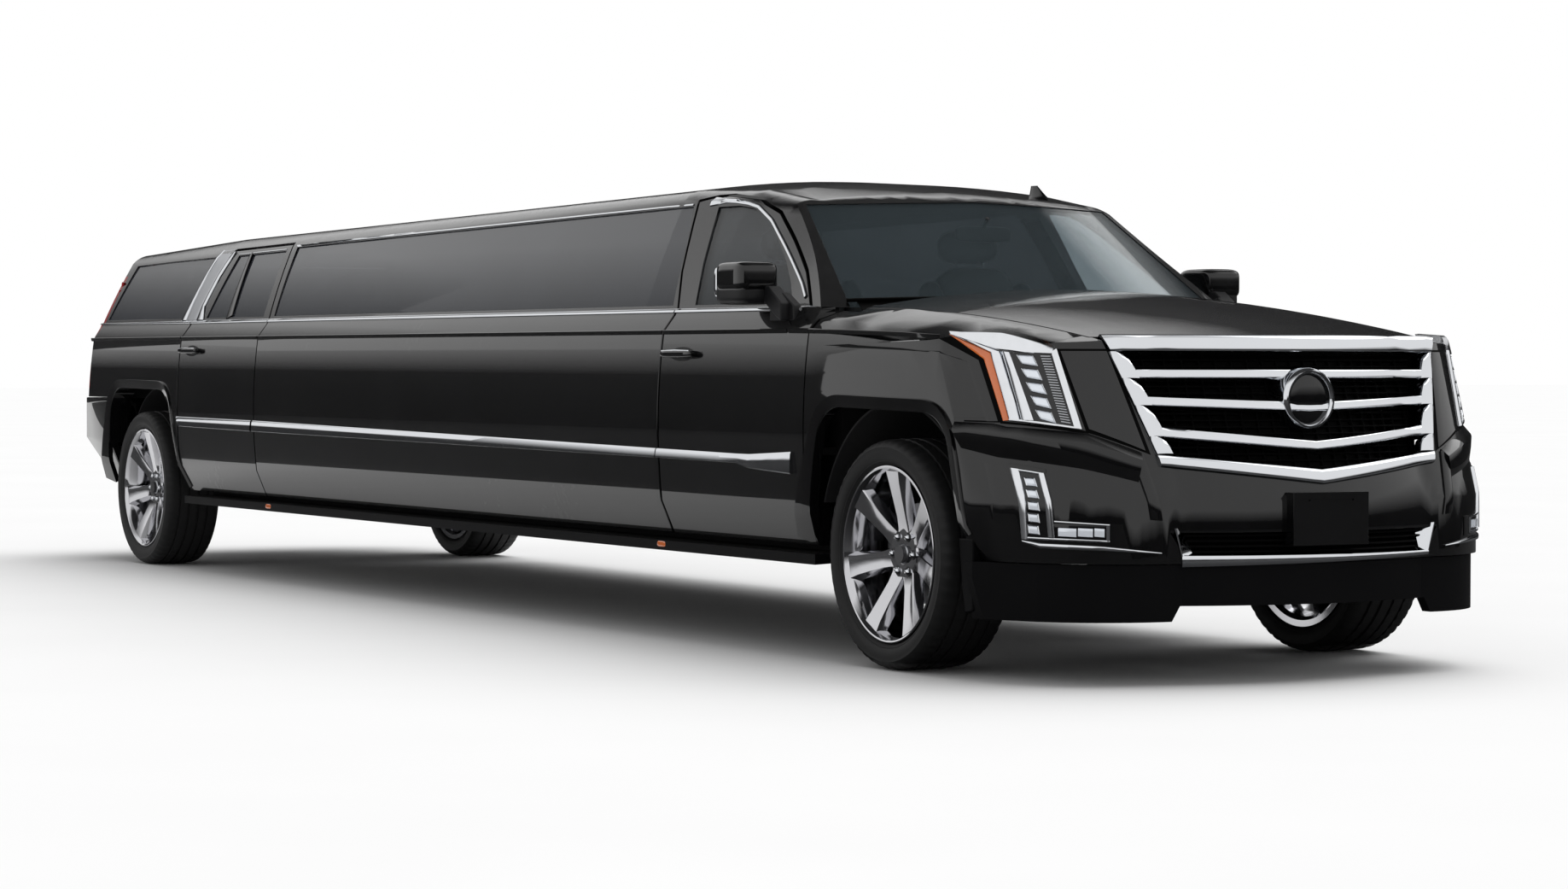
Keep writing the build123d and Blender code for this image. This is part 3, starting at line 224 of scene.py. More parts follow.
@dataclass(frozen=True)
class Body:
    """The car's outer shape, the same in every number as its CAD source.

    Attributes:
        belt: height of the foot of the side glass; belt_y is its half width.
        crease: half width and height, like widest, shoulder, ledge and edge below.
        stations: station; half widths of belt, rail and turn; heights of rail, turn and crown.
        nose_low: the nose in plan at the first of nose_heights, and nose_high at the second.
        nose_bulge: how far the nose's corners stand out of their chords.
        screen_lean: how far the windscreen moves back for each millimetre of height.
        screen_corner: its sag in plan at a half width.
        tail_lean: the tail's lean above and below its belt.
        side_bow: how far the side glass stands out of its chord.
        flank_reach: half widths between which the flank meets the nose.
        flank_foot: where the nose's last row is carried on to.
        tail_plan: bow of the tail at its half widths.
    """

    belt: float = 1245
    crease: Pair = (1008, 525)
    widest: Pair = (1024, 830)
    shoulder: Pair = (1000, 1165)
    ledge: Pair = (955, 1225)
    belt_y: float = 945
    edge: Pair = (955, 400)
    stations: tuple[tuple[float, ...], ...] = (
        (-400, 881, 630, 520, 1520, 1536, 1548),
        (-900, 897, 671, 563, 1582, 1602, 1618),
        (-1200, 908, 699, 592, 1629, 1655, 1692),
        (-1500, 919, 725, 618, 1660, 1703, 1737),
        (-1950, 936, 765, 660, 1671, 1719, 1766),
        (-6900, 936, 765, 660, 1587, 1662, 1696),
        (-8800, 936, 765, 660, 1561, 1602, 1628),
    )
    nose_low: Line = ((1120, 0), (1020, 500), (776, 904), (540, 1005))
    nose_high: Line = ((940, 0), (835, 500), (600, 912), (300, 1002))
    nose_heights: Pair = (600, 1150)
    nose_bulge: float = 45
    screen_base: Pair = (-380, 1240)
    screen_lean: float = -1.63
    screen_corner: Pair = (255, 870)
    tail_belt: Pair = (-8513, 1245)
    tail_lean: Pair = (0.2, 0.11)
    side_bow: float = 6
    flank_reach: Pair = (850, 1100)
    flank_foot: Pair = (-2000, 1100)
    tail_plan: Line = ((54, 600), (135, 800), (193, 936), (255, 1024), (340, 1100))

    def station(self, x: float) -> list[float]:
        """The glasshouse's half widths and heights at a station: belt, rail, turn; rail, turn, crown."""
        rows = self.stations
        for a, b in zip(rows, rows[1:]):
            if x >= b[0]:
                break
        t = (a[0] - x) / (a[0] - b[0])
        return [mix(p, q, t) for p, q in zip(a[1:], b[1:])]

    def side_y(self, x: float, z: float) -> float:
        """Half width of the body at a station and a height."""
        if z < self.crease[1]:
            return along((self.edge, self.crease), z, 1)
        if z < self.shoulder[1]:
            return arc_at(self.crease, self.widest, self.shoulder, z)
        if z < self.belt:
            return along((self.shoulder, self.ledge, (self.belt_y, self.belt)), z, 1)
        belt_y, rail_y, turn_y, rail, turn, _ = self.station(x)
        if z <= rail:
            middle = ((belt_y + rail_y) / 2 + self.side_bow, (self.belt + rail) / 2)
            return arc_at((belt_y, self.belt), middle, (rail_y, rail), z)
        return along(((rail_y, rail), (turn_y, turn)), z, 1) + self.side_bow

    def flank_y(self, x: float, z: float) -> float:
        """Half width where the side runs forward into the nose."""
        low, high = self.flank_reach
        for _ in range(HALVINGS):
            y = (low + high) / 2
            low, high = (y, high) if self.nose_x(y, z) > x else (low, y)
        return min(low, self.side_y(x, z))

    def roof_z(self, x: float, y: float) -> float:
        """Height of the roof's crown at a station and a half width."""
        _, _, turn_y, _, turn, crown = self.station(x)
        _, zc, r = circle((-turn_y, turn), (0, crown), (turn_y, turn))
        return zc + math.sqrt(r * r - y * y)

    def nose_row(self, row: Sequence[Pair], y: float) -> float:
        """Station of one of the nose's plan outlines at a half width."""
        y = abs(y)
        if y <= row[1][1]:
            return arc_at((row[1][0], -row[1][1]), row[0], row[1], y)
        if y <= row[2][1]:
            x, reach = [(a + b) / 2 + self.nose_bulge for a, b in zip(row[1], row[2])]
            return arc_at(row[1], (x, reach), row[2], y)
        return along((row[2], row[3], self.flank_foot), y, 1)

    def nose_x(self, y: float, z: float) -> float:
        """Station of the nose at a half width and a height."""
        low, high = self.nose_heights
        t = (z - low) / (high - low)
        a, b = self.nose_row(self.nose_low, y), self.nose_row(self.nose_high, y)
        if t > 1:
            return b + (z - high) * (self.nose_high[0][0] - self.nose_low[0][0]) / (high - low)
        return mix(a, b, max(t, 0))

    def screen_x(self, y: float, z: float) -> float:
        """Station of the windscreen at a half width and a height."""
        sag, edge = self.screen_corner
        r = (edge * edge + sag * sag) / (2 * sag)
        y = min(abs(y), edge)
        return self.screen_base[0] + (
            z - self.screen_base[1]) * self.screen_lean - r + math.sqrt(r * r - y * y)

    def tail_x(self, y: float, z: float) -> float:
        """Station of the tail at a half width and a height."""
        y = abs(y)
        sag, edge = self.tail_plan[0]
        r = (edge * edge + sag * sag) / (2 * sag)
        bow = r - math.sqrt(r * r - y * y) if y <= edge else along(self.tail_plan, y, 1)
        x, z0 = self.tail_belt
        return x + (z - z0) * self.tail_lean[0 if z > z0 else 1] + bow


BODY = Body()
SIDE = Surface(lambda x, z: Vector((x, -BODY.side_y(x, z), z)), (0, -1, 0.2))
FLANK = Surface(lambda x, z: Vector((x, -BODY.flank_y(x, z), z)), (0.3, -1, 0.2))
NOSE = Surface(lambda y, z: Vector((BODY.nose_x(y, z), -y, z)), (1, -0.3, 0))
SCREEN = Surface(lambda y, z: Vector((BODY.screen_x(y, z), -y, z)), (1, 0, 0.6))
TAIL = Surface(lambda y, z: Vector((BODY.tail_x(y, z), -y, z)), (-1, 0, 0))


# ---------- node graphs
def _operator(operation: str, reflected: bool = False) -> Callable[..., Value]:
    """An operator of Value that stands for one Math node.

    Args:
        operation: what the node does.
        reflected: the value stands on the operator's right.

    Returns:
        The method.
    """

    def method(value: Value, other: Value | float) -> Value:
        """The node's result."""
        node = value.graph.tree.nodes.new("ShaderNodeMath")
        node.operation = operation
        for slot, number in zip(node.inputs, (other, value) if reflected else (value, other)):
            value.graph.feed(slot, number)
        return Value(value.graph, node.outputs[0])

    return method


class Value:
    """A number in a node graph that takes part in arithmetic."""

    def __init__(self, graph: Graph, socket: bpy.types.NodeSocket) -> None:
        self.graph = graph
        self.socket = socket

    __add__ = __radd__ = _operator("ADD")
    __mul__ = __rmul__ = _operator("MULTIPLY")
    __sub__, __rsub__ = _operator("SUBTRACT"), _operator("SUBTRACT", True)
    __truediv__, __rtruediv__ = _operator("DIVIDE"), _operator("DIVIDE", True)
    __pow__, __rpow__ = _operator("POWER"), _operator("POWER", True)
    highest = _operator("MAXIMUM")

    def ramp(self, low: float, high: float) -> Value:
        """This value's place between two limits, held to 0..1."""
        node = self.graph.tree.nodes.new("ShaderNodeMapRange")
        self.graph.fill(node, Value=self, From_Min=low, From_Max=high)
        return Value(self.graph, node.outputs["Result"])


class Graph:
    """A node tree under construction."""

    def __init__(self, tree: bpy.types.NodeTree) -> None:
        self.tree = tree

    def feed(self, socket: bpy.types.NodeSocket, value: Any) -> None:
        """Link a value to a socket, or set the socket to a constant."""
        if isinstance(value, Value):
            self.tree.links.new(value.socket, socket)
        elif isinstance(value, bpy.types.NodeSocket):
            self.tree.links.new(value, socket)
        elif isinstance(value, (tuple, list)) and len(value) == 3 and socket.type == "RGBA":
            socket.default_value = (*value, 1)
        else:
            socket.default_value = value

    def node(
            self, kind: str, settings: dict[str, Any] | None = None, output: int | str = 0, **inputs: Any
    ) -> Value:
        """One node.

        Args:
            kind: node type without its "ShaderNode" prefix.
            settings: the node's own properties, set before its sockets.
            output: name or number of the output to return.
            inputs: values of its sockets, with "_" for a space.

        Returns:
            The chosen output.
        """
        node = self.tree.nodes.new("ShaderNode" + kind)
        for key, value in (settings or {}).items():
            setattr(node, key, value)
        self.fill(node, **inputs)
        return Value(self, node.outputs[output])

    def fill(self, node: bpy.types.Node, **inputs: Any) -> None:
        """Values for a node's sockets by name, with "_" for a space."""
        for key, value in inputs.items():
            self.feed(node.inputs[key.replace("_", " ")], value)

    def layer(self, share: Value, under: Value, over: Value) -> Value:
        """A share of one shader over another."""
        mixed = self.node("MixShader", Fac=share)
        for slot, shader in zip(mixed.socket.node.inputs[1:], (under, over)):
            self.feed(slot, shader)
        return mixed

    def where(self, scale: Numbers = EVEN) -> Value:
        """Position on the piece in metres, scaled."""
        return self.node(
            "Mapping", None, 0, Vector=self.node("TexCoord", output="Object"), Scale=tuple(scale))

    def height(self) -> Value:
        """Height on the piece in metres."""
        return self.node("SeparateXYZ", None, "Z", Vector=self.node("TexCoord", output="Object"))

    def noise(self, scale: float, detail: float = 3, stretch: Numbers = EVEN) -> Value:
        """Noise between 0 and 1 with so many cycles a metre."""
        return self.node("TexNoise", None, 0, Vector=self.where(stretch), Scale=scale, Detail=detail)

    def blend(self, factor: Value, a: Numbers, b: Numbers) -> Value:
        """A colour between two colours."""
        node = self.tree.nodes.new("ShaderNodeMix")
        node.data_type = "RGBA"
        self.feed(node.inputs[0], factor)
        for slot, colour in zip([s for s in node.inputs if s.type == "RGBA"], (a, b)):
            self.feed(slot, colour)
        return Value(self, next(s for s in node.outputs if s.type == "RGBA"))


class Pattern(Enum):
    """How a surface varies close up: cycles a metre, detail and stretch of its noise."""

    SMOOTH = (28, 2, EVEN)
    BRUSHED = (9, 4, (1, 30, 60))
    GRAIN = (420, 3, EVEN)
    LEATHER = (260, 0, EVEN)
    CAST = (160, 6, EVEN)
    RUBBER = (240, 5, EVEN)


BROAD_NOISE = (2.6, 4)
SMEAR_NOISE = (3, 4)
BROAD_SHARE = 0.6
MIDDLE = (0.3, 0.7)
DUSTY = (0.35, 0.8)
DUST_COLOUR = (0.22, 0.2, 0.18)
ROUGH_SPREAD = 0.14
COAT_ROUGHNESS = 0.02
BUMP_STRENGTH = 0.7
CELL_EDGE = 0.12
SMEAR_ROUGHNESS = 0.02


def new_look(name: str) -> tuple[bpy.types.Material, Graph, bpy.types.Node]:
    """A fresh material with its graph and its surface node."""
    made = bpy.data.materials.new(name)
    made.use_nodes = True
    return made, Graph(made.node_tree), made.node_tree.nodes["Principled BSDF"]


def shade(colour: Numbers, by: float) -> Triple:
    """A colour made lighter or darker."""
    return tuple(min(c * by, 1) for c in colour)


@dataclass(frozen=True)
class Finish:
    """An opaque finish.

    Attributes:
        name: material name.
        colour: linear base colour.
        roughness: mean roughness.
        metallic: share of metal.
        coat: weight of the clear coat.
        pattern: how the surface varies close up.
        relief: depth of that pattern in millimetres.
        mottle: how far the colour varies either way.
        dust: how much settled dust lightens it.
        glow: emission strength.
        specular: how strongly the base below the coat reflects.
    """

    name: str
    colour: Triple
    roughness: float = 0.4
    metallic: float = 0
    coat: float = 0
    pattern: Pattern = Pattern.SMOOTH
    relief: float = 0
    mottle: float = 0.08
    dust: float = 0
    glow: float = 0
    specular: float = 0.5

    def texture(self, g: Graph) -> Value:
        """The close pattern as a number between 0 and 1."""
        scale, detail, stretch = self.pattern.value
        if self.pattern is not Pattern.LEATHER:
            return g.noise(scale, detail, stretch)
        cells = g.node("TexVoronoi", {"feature": "DISTANCE_TO_EDGE"}, Vector=g.where(), Scale=scale)
        return cells.ramp(0, CELL_EDGE)

    def material(self) -> bpy.types.Material:
        """The material, made once and shared after that."""
        found = bpy.data.materials.get("look_" + self.name)
        if found:
            return found
        made, g, bsdf = new_look("look_" + self.name)
        broad, close = g.noise(*BROAD_NOISE), self.texture(g)
        share = (broad * BROAD_SHARE + close * (1 - BROAD_SHARE)).ramp(*MIDDLE)
        colour = g.blend(share, shade(self.colour, 1 - self.mottle), shade(self.colour, 1 + self.mottle))
        if self.dust:
            grime = (broad.ramp(*DUSTY) * close) * self.dust
            colour = g.blend(grime, colour, DUST_COLOUR)
        g.fill(
            bsdf, Base_Color=colour,
            Roughness=self.roughness * (1 - ROUGH_SPREAD + share * (2 * ROUGH_SPREAD)),
            Metallic=self.metallic, Coat_Weight=self.coat, Coat_Roughness=COAT_ROUGHNESS,
            Specular_IOR_Level=self.specular)
        if self.glow:
            g.fill(bsdf, Emission_Color=colour, Emission_Strength=self.glow)
        if self.relief:
            g.fill(
                bsdf, Normal=g.node("Bump", Height=close, Distance=self.relief / 1000, Strength=BUMP_STRENGTH)
            )
        return made


@dataclass(frozen=True)
class Glass:
    """A pane or lens thin enough not to bend what is seen through it.

    Attributes:
        name: material name.
        tint: colour of what comes through one face.
        gleam: refractive index that sets its reflection.
        haze: share of the pane that scatters light.
        haze_colour: colour of that scatter.
        fade: painted shade on the reflection: share of it left at the bottom, and the heights between which
            it grows.
    """

    name: str
    tint: Triple
    gleam: float = 1.5
    haze: float = 0
    haze_colour: Triple = (0.2, 0.21, 0.23)
    fade: tuple[float, ...] = ()

    def material(self) -> bpy.types.Material:
        """The material, made once and shared after that."""
        found = bpy.data.materials.get("look_" + self.name)
        if found:
            return found
        made, g, bsdf = new_look("look_" + self.name)
        made.node_tree.nodes.remove(bsdf)
        smear = g.noise(*SMEAR_NOISE)
        body = g.node("BsdfTransparent", Color=(*self.tint, 1))
        if self.haze:
            film = g.node("BsdfDiffuse", Color=(*self.haze_colour, 1))
            body = g.layer(smear * 0.5 * self.haze + self.haze * 0.75, body, film)
        shine = g.node("BsdfGlossy", Color=(*WHITE, 1), Roughness=smear * SMEAR_ROUGHNESS)
        least = ((self.gleam - 1) / (self.gleam + 1)) ** 2
        slant = g.node("LayerWeight", None, "Facing", Blend=0.5)
        square = slant * slant
        facing = square * square * slant * (1 - least) + least
        # painted shade: the reflection is weakened towards the bottom of the pane, by height alone
        if self.fade:
            facing = facing * (self.fade[0] + (1 - self.fade[0]) * g.height().ramp(*self.fade[1:]))
        g.fill(made.node_tree.nodes["Material Output"], Surface=g.layer(facing, body, shine))
        return made


Look = Finish | Glass


# ---------- finishes
PAINT = Finish("paint_black", (0.003, 0.003, 0.0033), 0.3, coat=1, mottle=0.25, specular=0.03)
CHROME = Finish("chrome", (0.68, 0.695, 0.72), 0.06, 1, pattern=Pattern.BRUSHED, mottle=0.03)
RIM = Finish("rim_chrome", (0.56, 0.56, 0.58), 0.09, 1, pattern=Pattern.BRUSHED, mottle=0.04)
SATIN = Finish("satin_metal", (0.42, 0.43, 0.45), 0.3, 1, pattern=Pattern.BRUSHED, mottle=0.05)
PLASTIC = Finish(
    "black_plastic", (0.008, 0.008, 0.009), 0.42, pattern=Pattern.GRAIN, relief=0.15, dust=0.01, specular=0.25
)
GLOSS = Finish("gloss_plastic", (0.003, 0.003, 0.0035), 0.2, coat=1, specular=0.05)
VALANCE = Finish(
    "valance_plastic", (0.0045, 0.0045, 0.005), 0.4, pattern=Pattern.GRAIN, relief=0.2, dust=0.004,
    specular=0.05)
STEEL = Finish("frame_steel", (0.03, 0.031, 0.034), 0.5, 0.4, pattern=Pattern.CAST, relief=0.3, dust=0.15)
EXHAUST = Finish(
    "exhaust_steel", (0.42, 0.4, 0.38), 0.38, 1, pattern=Pattern.BRUSHED, relief=0.05, mottle=0.15)
CAST = Finish(
    "cast_block", (0.12, 0.12, 0.125), 0.55, 0.8, pattern=Pattern.CAST, relief=0.6, mottle=0.15, dust=0.1)
UNDERBODY = Finish(
    "underbody", (0.015, 0.015, 0.016), 0.85, pattern=Pattern.CAST, relief=0.8, dust=0.08, specular=0.1)
LEATHER = Finish("seat_leather", (0.022, 0.02, 0.02), 0.42, pattern=Pattern.LEATHER, relief=0.25, mottle=0.12)
CABINET = Finish("cabinet", (0.03, 0.015, 0.009), 0.25, coat=0.8, pattern=Pattern.BRUSHED, mottle=0.5)
TYRE = Finish(
    "tyre_rubber", (0.010, 0.010, 0.0105), 0.6, pattern=Pattern.RUBBER, relief=0.25, dust=0.03, specular=0.3)
RUBBER = Finish("seal_rubber", (0.002, 0.002, 0.002), 0.7, pattern=Pattern.RUBBER, relief=0.1, specular=0.05)
REFLECTOR = Finish("reflector", (0.72, 0.735, 0.76), 0.12, 1, mottle=0.05)
LED = Finish("led_cell", (0.78, 0.82, 0.88), 0.18, 0.3, coat=1, mottle=0.05, glow=0.12)
AMBER = Finish("amber_lens", (0.62, 0.13, 0.015), 0.15, coat=1, mottle=0.1, glow=0.1)
RED = Finish("red_lens", (0.30, 0.004, 0.006), 0.15, coat=1, mottle=0.15, glow=0.05)
DISPLAY = Finish("display", (0.008, 0.012, 0.018), 0.12, coat=0.8)
BRAKE = Finish("brake_disc", (0.25, 0.25, 0.26), 0.35, 1, pattern=Pattern.BRUSHED, mottle=0.15)

# the last numbers of these two tinted glasses paint shade on their reflections low on the pane
DARK_GLASS = Glass("dark_glass", (0.16, 0.165, 0.175), 1.68, 0.2, (0.12, 0.135, 0.17), (0.4, 1.24, 1.52))
CAB_GLASS = Glass("cab_glass", (0.56, 0.59, 0.61), 1.42, 0.08, (0.11, 0.13, 0.145), (0.4, 1.24, 1.52))
SCREEN_GLASS = Glass("screen_glass", (0.8, 0.85, 0.86), 1.24, 0.1, (0.2, 0.245, 0.27))
LENS = Glass("lamp_lens", (0.93, 0.94, 0.95), 1.45)
RED_LENS = Glass("tail_lens", (0.55, 0.02, 0.02), 1.5, 0.25, (0.35, 0.01, 0.01))


# ---------- shapes
@dataclass(frozen=True)
class Rim:
    """Cross-section of a raised trim: share of its width and of its lift, row by row.

    Attributes:
        rows: (share of width, share of lift) from one buried foot to the other.
    """

    rows: Line


ROUND = Rim(
    ((0, -1.5), (0, 0.5), (0.05, 0.85), (0.14, 1), (0.5, 1.12), (0.86, 1), (0.95, 0.85), (1, 0.5), (1, -1.5)))
FLAT = Rim(((0, -1), (0, 0.8), (0.03, 1), (0.25, 1), (0.5, 1), (0.75, 1), (0.97, 1), (1, 0.8), (1, -1)))
CANTED = Rim(((0, -1.5), (0, 0.75), (0.05, 1), (0.5, 0.86), (0.9, 0.66), (1, 0.42), (1, -1.5)))
SHOULDER = Rim(((0, -1), (0, 0), (0.35, 0.62), (0.64, 1), (0.69, 0.98), (0.98, 0.1), (1, -1)))
FLARE = Rim(((0, -2), (0, 0.1), (0.3, 0.42), (0.8, 0.92), (0.92, 1), (1, -0.2), (1, -2)))
CREASE = Rim(((0, -2), (0, 0.02), (0.5, 0.55), (0.9, 1), (1, 0.9), (1, -2)))
RIDGE = Rim(
    ((0, -1.5), (0, 0.3), (0.06, 0.5), (0.42, 0.95), (0.5, 1), (0.58, 0.95), (0.94, 0.5), (1, 0.3), (1, -1.5))
)


@dataclass(frozen=True)
class Strip:
    """A raised strip of a table.

    Attributes:
        low: one edge as a surface's two numbers.
        high: the other edge, point for point.
        lift: how far it stands off.
        rim: its cross-section.
        base: how far off the surface its own zero lies.
        step: longest piece along it.
    """

    low: Line
    high: Line
    lift: float
    rim: Rim = ROUND
    base: float = 0
    step: float = 30


class Shape:
    """Points and faces gathered for one piece, in millimetres from the front axle."""

    def __init__(self) -> None:
        self.points: list[Vector] = []
        self.faces: list[tuple[int, ...]] = []

    def rows(
            self, rows: Sequence[Sequence[Vector]], around: bool = False, ring: bool = False,
            caps: bool = False) -> Shape:
        """Quads between rows of points.

        Args:
            rows: rows that all hold the same number of points.
            around: each row closes on itself.
            ring: the last row joins the first.
            caps: a face closes each end.

        Returns:
            This shape.
        """
        base, n = len(self.points), len(rows[0])
        for row in rows:
            self.points += row
        for i in range(len(rows) - (0 if ring else 1)):
            a, b = base + i * n, base + (i + 1) % len(rows) * n
            for k in range(n - (0 if around else 1)):
                m = (k + 1) % n
                self.faces.append((a + k, a + m, b + m, b + k))
        if caps:
            self.faces.append(tuple(range(base + n - 1, base - 1, -1)))
            last = base + (len(rows) - 1) * n
            self.faces.append(tuple(range(last, last + n)))
        return self

    def band(
            self, surface: Surface, low: Line, high: Line, lift: float, step: float = 30, rim: Rim = ROUND,
            base: float = 0) -> Shape:
        """A raised strip between two lines on a surface.

        Args:
            surface: what it lies on.
            low: one edge as the surface's two numbers.
            high: the other edge, point for point.
            lift: how far it stands off.
            step: longest piece along it.
            rim: its cross-section.
            base: how far off the surface its own zero lies.

        Returns:
            This shape.
        """
        low, high = dense(low, high, step)
        rows = []
        for a, b in zip(low, high):
            rows.append(
                [surface.point(mix(a[0], b[0], t), mix(a[1], b[1], t), base + lift * k) for t, k in rim.rows])
        return self.rows(rows, around=True, caps=True)

    def strips(self, surface: Surface, table: Iterable[Strip]) -> Shape:
        """The raised strips of a table."""
        for strip in table:
            self.band(surface, strip.low, strip.high, strip.lift, strip.step, strip.rim, strip.base)
        return self

    def trim(
            self, surface: Surface, line: Line, inner: float, outer: float, lift: float, **more: Any
    ) -> Shape:
        """A raised strip along a line, reaching so far to its right and to its left."""
        return self.band(surface, offset(line, -inner), offset(line, outer), lift, **more)

    def box(self, low: Numbers, high: Numbers) -> Shape:
        """A block between two corners."""
        (a, b, c), (d, e, f) = low, high
        foot = [Vector(p) for p in ((a, b, c), (d, b, c), (d, e, c), (a, e, c))]
        return self.rows([foot, [p + Vector((0, 0, f - c)) for p in foot]], around=True, caps=True)

    def prism(self, outline: Line, low: float, high: float) -> Shape:
        """An outline of station and height swept across the car."""
        return self.rows(
            [[Vector((x, y, z)) for x, z in outline] for y in (low, high)], around=True, caps=True)

    def lathe(self, profile: Line, centre: Numbers, axis: Numbers, steps: int) -> Shape:
        """A profile of (radius, distance along the axis) turned round an axis."""
        w = Vector(axis).normalized()
        u = w.orthogonal().normalized()
        v = w.cross(u)
        rows = []
        for k in range(steps):
            a = 2 * math.pi * k / steps
            out = u * math.cos(a) + v * math.sin(a)
            rows.append([Vector(centre) + out * r + w * h for r, h in profile])
        return self.rows(rows, ring=True)

    def tube(self, path: Sequence[Numbers], radius: float | Numbers, sides: int = 12) -> Shape:
        """A round bar along a path; its radius may change from point to point."""
        path = [Vector(p) for p in path]
        radii = [radius] * len(path) if isinstance(radius, (int, float)) else radius
        rows, up = [], None
        for i, p in enumerate(path):
            ahead = (path[min(i + 1, len(path) - 1)] - path[max(i - 1, 0)]).normalized()
            up = (up - ahead * up.dot(ahead)).normalized() if up else ahead.orthogonal().normalized()
            side = ahead.cross(up)
            ring = [2 * math.pi * k / sides for k in range(sides)]
            rows.append([p + (up * math.cos(a) + side * math.sin(a)) * radii[i] for a in ring])
        return self.rows(rows, around=True, caps=True)

    def pillow(self, low: Numbers, high: Numbers, soft: float = 5, n: int = 12, crown: float = 0) -> Shape:
        """A soft block: a rounded box whose broad faces swell.

        Args:
            low: lowest corner.
            high: highest corner.
            soft: how square it is; 2 is an ellipsoid.
            n: steps along each edge of the cube that it starts from.
            crown: extra swell of the upper face in millimetres.

        Returns:
            This shape.
        """
        centre = (Vector(low) + Vector(high)) / 2
        half = (Vector(high) - Vector(low)) / 2
        for axis in range(3):
            for end in (-1, 1):
                rows = []
                for i in range(n + 1):
                    row = []
                    for k in range(n + 1):
                        q = [0, 0, 0]
                        q[axis], q[(axis + 1) % 3], q[(axis + 2) % 3] = end, 2 * i / n - 1, 2 * k / n - 1
                        size = sum(abs(c) ** soft for c in q) ** (1 / soft)
                        spot = Vector([c / size * h for c, h in zip(q, half)])
                        if spot.z > 0:
                            bulge = [max(0, 1 - (spot[i] / half[i]) ** 2) for i in range(2)]
                            spot.z += crown * bulge[0] * bulge[1]
                        row.append(centre + spot)
                    rows.append(row)
                self.rows(rows)
        return self

    def moved(self, matrix: Matrix) -> Shape:
        """This shape turned and moved in place."""
        self.points = [matrix @ p for p in self.points]
        return self

    def flipped(self) -> Shape:
        """A copy mirrored to the other side of the car."""
        other = Shape()
        other.points = [Vector((p.x, -p.y, p.z)) for p in self.points]
        other.faces = [tuple(reversed(f)) for f in self.faces]
        return other

    def add(self, other: Shape) -> Shape:
        """Another shape taken into this one."""
        base = len(self.points)
        self.points += other.points
        self.faces += [tuple(base + i for i in f) for f in other.faces]
        return self

    def both(self) -> Shape:
        """This shape with its mirror image."""
        return self.add(self.flipped())

    def piece(
            self, name: str, look: Look, body: str = "body", bevel: float = 0, angle: float = 32,
            slot: str = "") -> bpy.types.Object:
        """The Blender object.

        Args:
            name: its name.
            look: its finish.
            body: CAD body that it rides on.
            bevel: width of rounded edges.
            angle: edges sharper than this stay sharp, in degrees.
            slot: not used.

        Returns:
            The object, riding on its body.
        """
        mesh = bpy.data.meshes.new(name)
        mesh.from_pydata([place(*p) for p in self.points], [], self.faces)
        work = bmesh.new()
        work.from_mesh(mesh)
        bmesh.ops.remove_doubles(work, verts=work.verts, dist=WELD)
        bmesh.ops.dissolve_degenerate(work, edges=work.edges, dist=1e-6)
        bmesh.ops.recalc_face_normals(work, faces=work.faces)
        work.to_mesh(mesh)
        work.free()
        obj = bpy.data.objects.new(name, mesh)
        bpy.context.scene.collection.objects.link(obj)
        mesh.materials.append(look.material())
        mesh.shade_smooth()
        mesh.set_sharp_from_angle(angle=math.radians(angle))
        if bevel:
            round_edges(obj, bevel, angle, True)
        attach(obj, body)
        return obj if slot else obj


def round_edges(obj: bpy.types.Object, width: float, angle: float, harden: bool) -> None:
    """Round the edges of an object that are sharper than an angle in degrees."""
    edge = obj.modifiers.new("edge", "BEVEL")
    edge.width = width / 1000
    edge.segments = 2
    edge.limit_method = "ANGLE"
    edge.angle_limit = math.radians(angle)
    edge.harden_normals = harden


def sides(
        shape: Shape, name: str, look: Look, bodies: tuple[str, str], **more: Any) -> list[bpy.types.Object]:
    """The right-hand piece and its mirror image, each on its own body."""
    other = shape.flipped()
    return [
        shape.piece(name + "_right", look, bodies[0], **more),
        other.piece(name + "_left", look, bodies[1], **more)]


